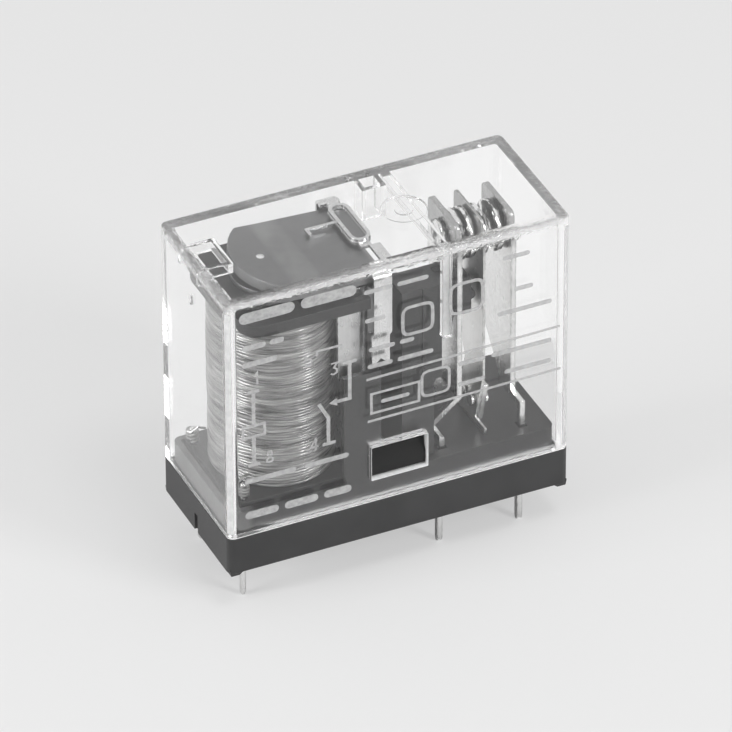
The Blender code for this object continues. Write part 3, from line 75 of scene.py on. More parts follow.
CAD_BOX_HALF_WIDTH = CAD_BOX[1][1]
PHOTO_SIZE = 732
WALL_BOUNCES = 48  # light runs round inside the clear walls; fewer bounces turn their edges black
# Centre of the painted highlight in the armature's punch mark
PUNCH_MARK_HIGHLIGHT = (-0.00873, 0.0, 0.02354)
MOULD_GRAINS = 9000.0
GRAIN_STRENGTH = 0.16
ROLLING_LINES = 6000.0
ROLLED_STRENGTH = 0.12
PLATING_MOTTLE = 1100.0
METAL_RELIEF = 0.00001
MOULDING_RELIEF = 0.00002
BACKDROP = (0.783, 0.783, 0.783, 1.0)  # shows as the photograph's background
GLASS_FLOOR_STRENGTH = 0.22
FLOOR_SHOWN, FLOOR_SHOWN_IN_GLASS = 0.55, 0.32  # shares of the backdrop's grey in the floor's shading
FILL_STRENGTH = 0.55
PRINT_SKIN = 0.015  # millimetres


# Nodes of a material tree

def add_node(tree, kind, inputs=None, **settings):
    """One node of that kind, with its settings made and its inputs set or linked."""
    node = tree.nodes.new(kind)
    for key, value in settings.items():
        setattr(node, key, value)
    for key, value in (inputs or {}).items():
        if isinstance(value, bpy.types.NodeSocket):
            tree.links.new(value, node.inputs[key])
        else:
            node.inputs[key].default_value = value
    return node


def new_group(name, inputs, outputs):
    """Shader node group with float, colour or vector sockets, given as (name, kind, default)."""
    group = bpy.data.node_groups.new(name, "ShaderNodeTree")
    kinds = {"float": "NodeSocketFloat", "colour": "NodeSocketColor", "vector": "NodeSocketVector"}
    for label, kind, value in inputs:
        socket = group.interface.new_socket(name=label, in_out="INPUT", socket_type=kinds[kind])
        if value is not None:
            socket.default_value = value
    for label, kind in outputs:
        group.interface.new_socket(name=label, in_out="OUTPUT", socket_type=kinds[kind])
    return group, group.nodes.new("NodeGroupInput"), group.nodes.new("NodeGroupOutput")


def maths(tree, operation, a, b=0.0):
    """Output of one Math node."""
    return add_node(tree, "ShaderNodeMath", {0: a, 1: b}, operation=operation).outputs[0]


def noise(tree, place, scale, detail=2.0, roughness=0.5):
    """Value of a noise pattern, from about 0 to 1."""
    return add_node(tree, "ShaderNodeTexNoise",
                    {"Vector": place, "Scale": scale, "Detail": detail, "Roughness": roughness}).outputs[0]


def ramp(tree, value, low, high, start=0.0, end=1.0):
    """Value mapped from low..high to start..end and held there."""
    return add_node(tree, "ShaderNodeMapRange", {0: value, 1: low, 2: high, 3: start, 4: end}).outputs[0]


def make_edge_wear_and_painted_light_group():
    """Edge mask: how far a rounded normal turns from the true one, broken up by noise; it gives edge wear,
    and also painted sheen and painted shade along edges.
    """
    group, source, sink = new_group(
        "edge_wear_and_painted_light",
        [("Vector", "vector", None), ("Width", "float", 0.0001), ("Scale", "float", 3000.0),
         ("Amount", "float", 0.5)],
        [("Mask", "float")])
    rounded = add_node(group, "ShaderNodeBevel", {"Radius": source.outputs["Width"]}, samples=4)
    surface = add_node(group, "ShaderNodeNewGeometry")
    dot = add_node(group, "ShaderNodeVectorMath", {0: rounded.outputs[0], 1: surface.outputs["Normal"]},
                   operation="DOT_PRODUCT").outputs["Value"]
    turned = ramp(group, maths(group, "SUBTRACT", 1.0, dot), 0.01, 0.12)
    broken = ramp(group, noise(group, source.outputs["Vector"], source.outputs["Scale"], 3.0), 0.3, 0.65)
    mask = maths(group, "MULTIPLY", maths(group, "MULTIPLY", turned, broken), source.outputs["Amount"])
    group.links.new(mask, sink.inputs["Mask"])
    return group


def make_mould_grain_group():
    """Fine spark-eroded grain of a moulding: a height, a tone near 1 and a roughness."""
    group, source, sink = new_group(
        "mould_grain",
        [("Vector", "vector", None), ("Scale", "float", 9000.0), ("Roughness", "float", 0.5),
         ("Spread", "float", 0.1)],
        [("Height", "float"), ("Tone", "float"), ("Roughness", "float")])
    place = source.outputs["Vector"]
    fine = noise(group, place, source.outputs["Scale"], 3.0, 0.6)
    cells = add_node(group, "ShaderNodeTexVoronoi", {"Vector": place, "Scale": source.outputs["Scale"]},
                     feature="SMOOTH_F1").outputs["Distance"]
    broad = noise(group, place, 220.0, 2.0)
    height = maths(group, "ADD", maths(group, "MULTIPLY", fine, 0.7), maths(group, "MULTIPLY", cells, 0.5))
    tone = maths(group, "ADD", ramp(group, broad, 0.35, 0.65, 0.85, 1.2),
                 ramp(group, fine, 0.3, 0.7, -0.05, 0.05))
    swing = maths(group, "MULTIPLY", maths(group, "SUBTRACT", broad, 0.5), source.outputs["Spread"])
    rough = maths(group, "ADD", source.outputs["Roughness"],
                  maths(group, "ADD", swing, ramp(group, fine, 0.3, 0.7, -0.04, 0.04)))
    group.links.new(height, sink.inputs["Height"])
    group.links.new(tone, sink.inputs["Tone"])
    group.links.new(rough, sink.inputs["Roughness"])
    return group


def make_rolled_metal_group():
    """Rolled strip: fine lines along one axis, plating mottle, and a roughness that follows both."""
    group, source, sink = new_group(
        "rolled_metal",
        [("Vector", "vector", None), ("Lines", "float", 6000.0), ("Mottle", "float", 900.0),
         ("Roughness", "float", 0.3), ("Spread", "float", 0.15)],
        [("Height", "float"), ("Tone", "float"), ("Roughness", "float")])
    place = source.outputs["Vector"]
    stretched = add_node(group, "ShaderNodeMapping", {"Vector": place, "Scale": (1.0, 1.0, 0.05)}).outputs[0]
    lines = noise(group, stretched, source.outputs["Lines"], 2.0, 0.6)
    mottle = noise(group, place, source.outputs["Mottle"], 4.0, 0.55)
    height = maths(group, "ADD", lines, maths(group, "MULTIPLY", mottle, 0.6))
    tone = maths(group, "ADD", ramp(group, mottle, 0.3, 0.7, 0.9, 1.03),
                 ramp(group, lines, 0.3, 0.7, -0.04, 0.04))
    swing = maths(group, "MULTIPLY", maths(group, "SUBTRACT", mottle, 0.5), source.outputs["Spread"])
    rough = maths(group, "ADD", source.outputs["Roughness"],
                  maths(group, "ADD", swing, ramp(group, lines, 0.3, 0.7, -0.03, 0.03)))
    group.links.new(height, sink.inputs["Height"])
    group.links.new(tone, sink.inputs["Tone"])
    group.links.new(rough, sink.inputs["Roughness"])
    return group


EDGE_WEAR_AND_PAINTED_LIGHT = make_edge_wear_and_painted_light_group()
MOULD_GRAIN = make_mould_grain_group()
ROLLED_METAL = make_rolled_metal_group()


# Materials

def new_material(name):
    """Material with a Principled shader; gives the material, its tree, shader and object coordinates."""
    material = bpy.data.materials.new(name)
    material.use_nodes = True
    tree = material.node_tree
    shader = tree.nodes["Principled BSDF"]
    place = add_node(tree, "ShaderNodeTexCoord").outputs["Object"]
    return material, tree, shader, place


def place_group(tree, group, **inputs):
    """Outputs of a shared effect placed in a material, with its inputs set or linked."""
    return add_node(tree, "ShaderNodeGroup", inputs, node_tree=group).outputs


def tinted(tree, colour, tone):
    """Colour multiplied by a tone near 1."""
    return add_node(tree, "ShaderNodeVectorMath", {0: colour, 1: tone}, operation="MULTIPLY").outputs[0]


def blended(tree, mask, first, second):
    """Colour that goes from the first to the second with the mask."""
    node = add_node(tree, "ShaderNodeMix", data_type="RGBA")
    for index, value in ((0, mask), (6, first), (7, second)):
        if isinstance(value, bpy.types.NodeSocket):
            tree.links.new(value, node.inputs[index])
        else:
            node.inputs[index].default_value = value
    return node.outputs[2]


def bumped(tree, height, strength, distance):
    """Normal from a height."""
    inputs = {"Strength": strength, "Distance": distance, "Height": height}
    return add_node(tree, "ShaderNodeBump", inputs).outputs[0]


def coordinate(tree, place, axis):
    """One coordinate of a place, 0 to 2 for x to z."""
    return add_node(tree, "ShaderNodeSeparateXYZ", {0: place}).outputs[axis]


def rolled_skin(tree, place, roughness, spread):
    """Rolled metal's height, tone and roughness at a place."""
    return place_group(tree, ROLLED_METAL, Vector=place, Lines=ROLLING_LINES, Mottle=PLATING_MOTTLE,
                       Roughness=roughness, Spread=spread)


def link_surface(tree, shader, skin, colour, strength, relief):
    """Colour, roughness and fine relief of a surface, linked to its shader."""
    tree.links.new(colour, shader.inputs["Base Color"])
    tree.links.new(skin["Roughness"], shader.inputs["Roughness"])
    tree.links.new(bumped(tree, skin["Height"], strength, relief), shader.inputs["Normal"])


def moulding_material(name, plain, worn, roughness):
    """Matt thermoplastic with a fine grain and slightly rubbed edges."""
    material, tree, shader, place = new_material(name)
    skin = place_group(tree, MOULD_GRAIN, Vector=place, Scale=MOULD_GRAINS, Roughness=roughness, Spread=0.16)
    wear = place_group(tree, EDGE_WEAR_AND_PAINTED_LIGHT, Vector=place, Width=0.00009, Scale=2600.0, Amount=0.55)
    base = tinted(tree, plain, skin["Tone"])
    colour = blended(tree, wear["Mask"], base, (*worn, 1.0))
    link_surface(tree, shader, skin, colour, GRAIN_STRENGTH, MOULDING_RELIEF)
    return material


def metal_material(name, plain, worn, roughness):
    """Plated strip metal: rolling lines, mottled plating and bright edges."""
    material, tree, shader, place = new_material(name)
    skin = rolled_skin(tree, place, roughness, 0.22)
    wear = place_group(tree, EDGE_WEAR_AND_PAINTED_LIGHT, Vector=place, Width=0.00006, Scale=4200.0, Amount=0.7)
    base = tinted(tree, plain, skin["Tone"])
    colour = blended(tree, wear["Mask"], base, (*worn, 1.0))
    link_surface(tree, shader, skin, colour, ROLLED_STRENGTH, METAL_RELIEF)
    shader.inputs["Metallic"].default_value = 1.0
    return material


def within(tree, place, axis, low, high, blur):
    """Mask that is 1 where a coordinate lies between two values and falls to 0 over the blur."""
    value = coordinate(tree, place, axis)
    rise = ramp(tree, value, low - blur, low + blur)
    fall = ramp(tree, value, high - blur, high + blur, 1.0, 0.0)
    return maths(tree, "MULTIPLY", rise, fall)


def dipped_material(name, tin, brass, worn, roughness):
    """Terminal strip: bright tin up to the dip line, bare and darker brass above it, bright edges, and a
    wider dark band along edges and creases that is painted shade.
    """
    material, tree, shader, place = new_material(name)
    skin = rolled_skin(tree, place, roughness, 0.18)
    wear = place_group(tree, EDGE_WEAR_AND_PAINTED_LIGHT, Vector=place, Width=0.00008, Scale=4200.0, Amount=0.85)
    waver = ramp(tree, noise(tree, place, 500.0), 0.2, 0.8, -0.0004, 0.0004)
    dip_line, dip_blur = 20.6 * MM, 0.7 * MM
    bare = ramp(tree, maths(tree, "ADD", coordinate(tree, place, 2), waver), dip_line, dip_line + dip_blur)
    # Painted shade: a wider band darkened along edges and creases.
    shade = place_group(tree, EDGE_WEAR_AND_PAINTED_LIGHT, Vector=place, Width=0.00022, Scale=2600.0, Amount=0.8)
    base = tinted(tree, blended(tree, bare, (*tin, 1.0), (*brass, 1.0)), skin["Tone"])
    base = blended(tree, shade["Mask"], base, (0.09, 0.09, 0.09, 1.0))
    link_surface(tree, shader, skin, blended(tree, wear["Mask"], base, (*worn, 1.0)), 0.1, METAL_RELIEF)
    shader.inputs["Metallic"].default_value = 1.0
    return material


def contact_material():
    """Turned silver alloy: rings painted dark between bright ones as painted reflections of dark and bright
    surroundings, broken up round the rim.
    """
    material, tree, shader, place = new_material("contact_silver")
    rings = add_node(tree, "ShaderNodeMapping", {"Vector": place, "Scale": (1.0, 0.22, 0.22)}).outputs[0]
    bands = noise(tree, rings, 2400.0, 3.0, 0.65)
    patches = noise(tree, place, 1500.0, 2.0)
    shift = maths(tree, "MULTIPLY", maths(tree, "SUBTRACT", patches, 0.5), 0.4)
    # Painted reflections: rings of dark and bright base colour, standing for the dark and bright surroundings
    # that polished silver would show.
    bright = ramp(tree, maths(tree, "ADD", bands, shift), 0.44, 0.54)
    silver = blended(tree, bright, (0.05, 0.05, 0.05, 1.0), (0.93, 0.93, 0.925, 1.0))
    tree.links.new(silver, shader.inputs["Base Color"])
    tree.links.new(ramp(tree, patches, 0.3, 0.7, 0.1, 0.24), shader.inputs["Roughness"])
    tree.links.new(bumped(tree, bands, 0.25, 0.00002), shader.inputs["Normal"])
    shader.inputs["Metallic"].default_value = 1.0
    return material


def yoke_material():
    """Oiled steel strip of the yoke, dark and dull, with its lips painted bright as painted light from the
    left, fading out where the arm is bent.
    """
    material, tree, shader, place = new_material("yoke_steel")
    skin = rolled_skin(tree, place, 0.3, 0.2)
    wear = place_group(tree, EDGE_WEAR_AND_PAINTED_LIGHT, Vector=place, Width=0.00006, Scale=4200.0, Amount=0.6)
    # Painted light: the lips painted pale towards the left, fading out across the bend.
    side = maths(tree, "ABSOLUTE", coordinate(tree, place, 1))
    before_bend = ramp(tree, coordinate(tree, place, 0), -0.0033, -0.0018, 1.0, 0.0)
    rubbed = maths(tree, "MULTIPLY", ramp(tree, side, 0.0025, 0.0041), before_bend)
    steel = blended(tree, rubbed, (0.2, 0.2, 0.203, 1.0), (0.66, 0.66, 0.66, 1.0))
    base = tinted(tree, steel, skin["Tone"])
    colour = blended(tree, wear["Mask"], base, (0.78, 0.78, 0.78, 1.0))
    link_surface(tree, shader, skin, colour, ROLLED_STRENGTH, METAL_RELIEF)
    shader.inputs["Metallic"].default_value = 1.0
    return material


def armature_material():
    """Plated steel: on the armature, a painted highlight in the punch mark, a paler band across it as painted
    reflection, and rubbed edges.
    """
    material, tree, shader, place = new_material("plated_steel")
    skin = rolled_skin(tree, place, 0.4, 0.2)
    wear = place_group(tree, EDGE_WEAR_AND_PAINTED_LIGHT, Vector=place, Width=0.0001, Scale=4200.0, Amount=0.95)
    # Painted highlight: a white, non-metallic spot in the punch mark.
    apart = add_node(tree, "ShaderNodeVectorMath", {0: place, 1: PUNCH_MARK_HIGHLIGHT},
                     operation="DISTANCE").outputs["Value"]
    painted_dimple_highlight = ramp(tree, apart, 0.00028, 0.00036, 1.0, 0.0)
    # Painted reflection: a paler band across the plate, broken up by noise.
    band = within(tree, place, 0, -0.0078, -0.0056, 0.00025)
    painted_reflection_band = maths(tree, "MULTIPLY", band, ramp(tree, noise(tree, place, 330.0), 0.35, 0.6, 0.35, 1.0))
    steel = blended(tree, painted_reflection_band, (0.255, 0.255, 0.257, 1.0), (0.345, 0.345, 0.347, 1.0))
    base = blended(tree, wear["Mask"], tinted(tree, steel, skin["Tone"]), (0.75, 0.75, 0.75, 1.0))
    link_surface(tree, shader, skin, blended(tree, painted_dimple_highlight, base, (1.0, 1.0, 1.0, 1.0)), 0.1, METAL_RELIEF)
    tree.links.new(maths(tree, "SUBTRACT", 1.0, painted_dimple_highlight), shader.inputs["Metallic"])
    return material


def base_material():
    """Black moulding of the base: the latch blocks blacker and duller, the black being painted shade of their
    recess; the plateau's left end paler, as painted light from the left; and paler edges as painted sheen.
    """
    material, tree, shader, place = new_material("black_moulding")
    skin = place_group(tree, MOULD_GRAIN, Vector=place, Scale=MOULD_GRAINS, Roughness=0.42, Spread=0.16)
    wear = place_group(tree, EDGE_WEAR_AND_PAINTED_LIGHT, Vector=place, Width=0.00009, Scale=2600.0, Amount=0.5)
    # Painted shade: the latch blocks in the windows painted near black, as if shaded in their recess.
    crisp, latch_reach, latch_bottom, latch_top = 0.05 * MM, 2.5 * MM, 5.1 * MM, 8.3 * MM
    beside = ramp(tree, maths(tree, "ABSOLUTE", coordinate(tree, place, 1)), 4.8 * MM, 4.9 * MM)
    level = maths(tree, "MULTIPLY", within(tree, place, 2, latch_bottom, latch_top, crisp), beside)
    latch = maths(tree, "MULTIPLY", within(tree, place, 0, -latch_reach, latch_reach, crisp), level)
    plain = blended(tree, latch, (0.024, 0.024, 0.0245, 1.0), (0.004, 0.004, 0.004, 1.0))
    # Painted light: the plateau's left end painted paler, as lit by the lamp on the left.
    painted_left_end_light = maths(tree, "MULTIPLY", within(tree, place, 0, -0.015, -0.0122, 0.0003),
                  within(tree, place, 2, 0.0034, 0.006, 0.0001))
    plain = blended(tree, painted_left_end_light, plain, (0.18, 0.18, 0.18, 1.0))
    base = tinted(tree, plain, skin["Tone"])
    # Painted sheen: the base's edges painted paler, broken up by noise.
    worn = maths(tree, "MULTIPLY", wear["Mask"], maths(tree, "SUBTRACT", 1.0, latch))
    colour = blended(tree, worn, base, (0.09, 0.09, 0.09, 1.0))
    link_surface(tree, shader, skin, colour, GRAIN_STRENGTH, MOULDING_RELIEF)
    dull = {0: latch, 2: skin["Roughness"], 3: 0.8}
    rough = add_node(tree, "ShaderNodeMix", dull, data_type="FLOAT").outputs[0]
    tree.links.new(rough, shader.inputs["Roughness"])
    return material


def winding_material():
    """Enamelled wire: fine slanting strands round the coil, broken by crossings, with glossy enamel."""
    material, tree, shader, place = new_material("winding_wire")
    level = add_node(tree, "ShaderNodeMapping", {"Vector": place, "Scale": (0.05, 0.05, 1.0)}).outputs[0]
    slant = add_node(tree, "ShaderNodeMapping",
                     {"Vector": place, "Rotation": (0.0, 0.1, 0.0), "Scale": (0.07, 0.07, 1.0)}).outputs[0]
    strands = noise(tree, slant, 6200.0, 2.0, 0.6)
    layers = noise(tree, level, 2300.0, 3.0, 0.6)
    patches = noise(tree, place, 520.0, 3.0, 0.5)
    tone = maths(tree, "ADD", ramp(tree, layers, 0.36, 0.64, 0.5, 1.35),
                 ramp(tree, strands, 0.35, 0.65, -0.42, 0.42))
    tree.links.new(tinted(tree, (0.31, 0.308, 0.305), tone), shader.inputs["Base Color"])
    tree.links.new(ramp(tree, patches, 0.3, 0.7, 0.42, 0.52), shader.inputs["Roughness"])
    height = maths(tree, "ADD", strands, maths(tree, "MULTIPLY", layers, 1.3))
    tree.links.new(bumped(tree, height, 0.6, 0.00005), shader.inputs["Normal"])
    shader.inputs["Metallic"].default_value = 0.7
    for key, value in (("Coat Weight", 0.65), ("Coat Roughness", 0.2), ("Coat IOR", 1.75)):
        shader.inputs[key].default_value = value
    return material


def clear_material():
    """Clear moulding: glass-like, with a trace of flow lines and an uneven rim round the roof."""
    material, tree, shader, place = new_material("clear_moulding")
    flow = add_node(tree, "ShaderNodeMapping", {"Vector": place, "Scale": (1.0, 1.0, 0.3)}).outputs[0]
    haze = noise(tree, flow, 700.0, 3.0, 0.5)
    tree.links.new(ramp(tree, haze, 0.35, 0.7, 0.0, 0.03), shader.inputs["Roughness"])
    ends = ramp(tree, maths(tree, "ABSOLUTE", coordinate(tree, place, 0)), 0.0135, 0.0138)
    sides = ramp(tree, maths(tree, "ABSOLUTE", coordinate(tree, place, 1)), 0.0054, 0.0057)
    roof = ramp(tree, coordinate(tree, place, 2), 0.0241, 0.0245)
    rim = maths(tree, "MULTIPLY", maths(tree, "MAXIMUM", ends, sides), roof)
    flash = maths(tree, "MULTIPLY", rim, ramp(tree, noise(tree, place, 1500.0, 3.0, 0.6), 0.3, 0.7, 0.0, 3.0))
    height = maths(tree, "ADD", maths(tree, "MULTIPLY", noise(tree, flow, 260.0, 1.0), 0.03), flash)
    tree.links.new(bumped(tree, height, 1.0, 0.00004), shader.inputs["Normal"])
    shader.inputs["Base Color"].default_value = (0.99, 0.99, 0.99, 1.0)
    shader.inputs["Transmission Weight"].default_value = 1.0
    shader.inputs["IOR"].default_value = 1.5
    return material


def frosted_and_painted_light_material():
    """Frosted edge of the clear moulding: pale and matt, with short scratches along it; the same pale skin
    also stands as painted light in the window reveals, the front corners and behind the hanging rib.
    """
    material, tree, shader, place = new_material("frosted_edge_and_painted_light")
    scratches = noise(tree, place, 1900.0, 4.0, 0.65)
    tone = ramp(tree, scratches, 0.3, 0.7, 0.86, 1.04)
    tree.links.new(tinted(tree, (0.92, 0.92, 0.92), tone), shader.inputs["Base Color"])
    tree.links.new(ramp(tree, scratches, 0.3, 0.7, 0.5, 0.75), shader.inputs["Roughness"])
    tree.links.new(bumped(tree, scratches, 0.4, 0.00002), shader.inputs["Normal"])
    return material


def print_material():
    """Pad-printed ink: pale grey and a little thin, so that what lies behind it shows faintly."""
    material, tree, shader, place = new_material("pad_print")
    mottle = noise(tree, place, 2600.0, 4.0, 0.6)
    tone = ramp(tree, mottle, 0.3, 0.7, 0.88, 1.1)
    tree.links.new(tinted(tree, (0.47, 0.47, 0.47), tone), shader.inputs["Base Color"])
    tree.links.new(ramp(tree, mottle, 0.3, 0.7, 0.45, 0.65), shader.inputs["Roughness"])
    tree.links.new(ramp(tree, mottle, 0.25, 0.7, 0.55, 0.75), shader.inputs["Alpha"])
    return material


MATERIALS = {
    "black_moulding": base_material(),
    "bobbin_moulding": moulding_material("bobbin_moulding", (0.02, 0.02, 0.0205), (0.07, 0.07, 0.07), 0.46),
    "card_moulding": moulding_material("card_moulding", (0.026, 0.026, 0.027), (0.08, 0.08, 0.08), 0.46),
    "plated_steel": armature_material(),
    "yoke_steel": yoke_material(),
    "spring_steel": metal_material("spring_steel", (0.78, 0.78, 0.78), (0.92, 0.92, 0.92), 0.24),
    "tinned_brass": dipped_material("tinned_brass", (0.86, 0.86, 0.855), (0.5, 0.5, 0.498),
                                    (0.97, 0.97, 0.96), 0.24),
    "spring_bronze": dipped_material("spring_bronze", (0.86, 0.858, 0.85), (0.5, 0.5, 0.497),
                                     (0.97, 0.97, 0.96), 0.32),
    "contact_silver": contact_material(),
    "lead_wire": metal_material("lead_wire", (0.4, 0.397, 0.394), (0.7, 0.7, 0.69), 0.34),
    "winding_wire": winding_material(),
    "clear_moulding": clear_material(),
    "frosted_edge_and_painted_light": frosted_and_painted_light_material(),
    "pad_print": print_material(),
}


# Pieces

def add_piece(name, mesh, material, body, smooth=30.0):
    """Object at the origin that rides on a body, smooth except at edges sharper than the angle."""
    piece = bpy.data.objects.new(name, mesh)
    bpy.context.scene.collection.objects.link(piece)
    mesh.materials.clear()
    mesh.materials.append(material)
    mesh.shade_smooth()
    mesh.set_sharp_from_angle(angle=math.radians(smooth))
    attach(piece, body)
    return piece


def grid_mesh(name, points, wrap_u, cap_ends):
    """Mesh of an (m, n, 3) grid: rows joined in quads, columns wrapped, and the end rows filled by a fan."""
    rows, columns = points.shape[:2]
    index = np.arange(rows * columns).reshape(rows, columns)
    right = np.roll(index, -1, axis=1) if wrap_u else index[:, 1:]
    left = index if wrap_u else index[:, :-1]
    quads = np.stack([left[:-1], right[:-1], right[1:], left[1:]], axis=-1).reshape(-1, 4)
    faces = quads.tolist()
    if cap_ends:
        faces += [index[0, ::-1].tolist(), index[-1].tolist()]
    mesh = bpy.data.meshes.new(name)
    mesh.from_pydata(points.reshape(-1, 3).tolist(), [], faces)
    mesh.update()
    return mesh


def merged_copy(node):
    """Copy of a CAD node's mesh with its doubles merged and its flat faces made whole."""
    work = bmesh.new()
    work.from_mesh(NODES[node].data)
    bmesh.ops.remove_doubles(work, verts=work.verts, dist=1e-7)
    bmesh.ops.dissolve_limit(work, angle_limit=math.radians(0.4), verts=work.verts, edges=work.edges)
    mesh = bpy.data.meshes.new(node + "_skin")
    work.to_mesh(mesh)
    work.free()
    return mesh


def softened(node, width, segments=2, angle=28.0):
    """Piece that stands for a node, with its sharp edges rounded by a small bevel."""
    piece = add_piece(node + "_skin", merged_copy(node), MATERIALS[SLOT_OF[node]], BODY_OF[node], 180.0)
    bevel = piece.modifiers.new("edge_rounding", "BEVEL")
    bevel.width = width
    bevel.segments = segments
    bevel.limit_method = "ANGLE"
    bevel.angle_limit = math.radians(angle)
    normals = piece.modifiers.new("face_normals", "WEIGHTED_NORMAL")
    normals.mode = "FACE_AREA_WITH_ANGLE"
    normals.keep_sharp = True
    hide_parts(node)
    return piece


def closed_at_poles(mesh):
    """Mesh with the rings that have shrunk to a point merged into one point."""
    work = bmesh.new()
    work.from_mesh(mesh)
    bmesh.ops.remove_doubles(work, verts=work.verts, dist=1e-8)
    bmesh.ops.recalc_face_normals(work, faces=work.faces)
    work.to_mesh(mesh)
    work.free()
    return mesh


def make_winding():
    """Winding: radius = mean + crown of each turn + slow bulges, over angle and height.

    The turns climb by one pitch a round, and their phase drifts slowly round the coil and up it, so the
    lines lean and crowd a little as hand-fed wire does. A second set of crossing strands, steeper and
    in patches, lies over the first.
    """
    low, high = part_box("coil_winding")
    center_x = (low.x + high.x) / 2
    radius = (high.x - low.x) / 2
    columns, rows = 170, 560
    angle = np.linspace(0, 2 * np.pi, columns, endpoint=False)
    height = np.linspace(0, 1, rows)
    turns = round((high.z - low.z) / (0.27 * MM))
    a, h = np.meshgrid(angle, height)
    drift = 0.5 * np.sin(2 * a + 9 * h) + 0.4 * np.sin(3 * a - 17 * h + 1.0) + 0.35 * np.sin(a + 31 * h)
    drift += 0.18 * np.sin(4 * a + 57 * h + 2.0)
    crown = np.abs(np.sin(np.pi * (turns * h + a / (2 * np.pi) + drift * np.sin(np.pi * h)))) ** 0.55
    crossing = np.abs(np.sin(np.pi * (0.61 * turns * h - a / np.pi - 0.9 * drift * np.sin(np.pi * h)))) ** 6
    patch = np.clip(np.sin(3 * a + 14 * h) * np.sin(2 * a - 23 * h + 1.5), 0, 1)
    bulge = 0.03 * np.sin(2 * a - 5 * h) + 0.03 * np.sin(23 * h + a) + 0.02 * np.sin(5 * a + 11 * h)
    r = radius - 0.11 * MM + 0.07 * MM * crown + 0.03 * MM * crossing * patch + 0.5 * bulge * MM
    r = np.minimum(r, radius)
    edge = 0.25 * MM
    z = low.z + h * (high.z - low.z)
    end = np.minimum(z - low.z, high.z - z)
    r = r - np.where(end < edge, edge - np.sqrt(np.maximum(edge ** 2 - (edge - end) ** 2, 0)), 0)
    outer = np.stack([center_x + r * np.cos(a), r * np.sin(a), z], axis=-1)
    bore = radius - 1.8 * MM
    ring = np.stack([center_x + bore * np.cos(angle), bore * np.sin(angle), 0 * angle], axis=-1)
    bottom, top = ring + [0, 0, low.z], ring + [0, 0, high.z]
    points = np.concatenate([bottom[None], outer, top[None], bottom[None]], axis=0)
    mesh = closed_at_poles(grid_mesh("coil_winding_skin", points, True, False))
    piece = add_piece("coil_winding_skin", mesh, MATERIALS["winding_wire"], BODY_OF["coil_winding"], 180.0)
    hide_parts("coil_winding")


def head_profile(start, end, radius, shank, squareness, open_start):
    """Side of a turned head in (place, radius): a superellipse, cut off where it meets the shank.

    Place = middle - half length times cosine, radius = radius times sine, both raised to 2 / squareness.
    """
    cut = math.asin((shank / radius) ** (squareness / 2))
    turn = np.linspace(cut, np.pi, 40) if open_start else np.linspace(0, np.pi - cut, 40)
    power = 2 / squareness
    middle, half = (start + end) / 2, (end - start) / 2
    place = middle - half * np.sign(np.cos(turn)) * np.abs(np.cos(turn)) ** power
    return np.stack([place, radius * np.sin(turn) ** power], axis=1)


def turned_contact(node, first, grip, second, shank):
    """Contact rivet turned about X: two rounded heads with (length, radius, squareness) and a shank."""
    low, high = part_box(node)
    center_y, center_z = (low.y + high.y) / 2, (low.z + high.z) / 2
    left = head_profile(low.x, low.x + first[0], first[1], shank, first[2], False)
    right = head_profile(high.x - second[0], high.x, second[1], shank, second[2], True)
    neck = np.array([[low.x + first[0], shank], [low.x + first[0] + grip, shank]])
    profile = np.concatenate([left, neck, right])
    profile[[0, -1], 1] = 0
    angle = np.linspace(0, 2 * np.pi, 72, endpoint=False)
    place, a = np.meshgrid(profile[:, 0], angle, indexing="ij")
    r = np.repeat(profile[:, 1:], len(angle), axis=1)
    points = np.stack([place, center_y + r * np.cos(a), center_z + r * np.sin(a)], axis=-1)
    mesh = closed_at_poles(grid_mesh(node + "_skin", points, True, False))
    piece = add_piece(node + "_skin", mesh, MATERIALS["contact_silver"], BODY_OF[node], 40.0)
    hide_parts(node)


def make_contacts():
    """Three contact rivets: flat-headed fixed ones, and the moving one with a head on each side."""
    tail, fixed_grip, fixed_head, shank = 0.4 * MM, 0.65 * MM, 0.8 * MM, 0.8 * MM
    wide, narrow = 1.8 * MM, 1.3 * MM
    turned_contact("break_contact", (tail, narrow, 4), fixed_grip, (fixed_head, wide, 5), shank)
    turned_contact("make_contact", (fixed_head, wide, 5), fixed_grip, (tail, narrow, 4), shank)
    low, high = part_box("moving_contact")
    moving_grip = 0.4 * MM
    head = (high.x - low.x - moving_grip) / 2
    turned_contact("moving_contact", (head, wide, 5), moving_grip, (head, wide, 5), shank)


def make_cover():
    """Clear cover: the node's own shape, a hair narrower so that the print stays inside the box."""
    piece = softened("cover", 0.03 * MM, 2, 32.0)
    count = len(piece.data.vertices)
    places = np.empty(count * 3, np.float32)
    piece.data.vertices.foreach_get("co", places)
    places = places.reshape(-1, 3)
    half = np.abs(places[:, 1]).max()
    places[:, 1] *= (half - 0.02 * MM) / half
    piece.data.vertices.foreach_set("co", places.ravel())


def rounded_rectangle(half_x, half_y, radius, steps):
    """Points round a rectangle: each corner is its centre plus the radius times cosine and sine."""
    turn = np.linspace(0, np.pi / 2, steps)
    quarter = np.stack([np.cos(turn), np.sin(turn)], axis=1) * radius
    corners = []
    for number, (sign_x, sign_y) in enumerate(((1, 1), (-1, 1), (-1, -1), (1, -1))):
        c, s = math.cos(number * math.pi / 2), math.sin(number * math.pi / 2)
        turned = quarter @ np.array([[c, s], [-s, c]])
        corners.append(turned + [sign_x * (half_x - radius), sign_y * (half_y - radius)])
    return np.concatenate(corners)


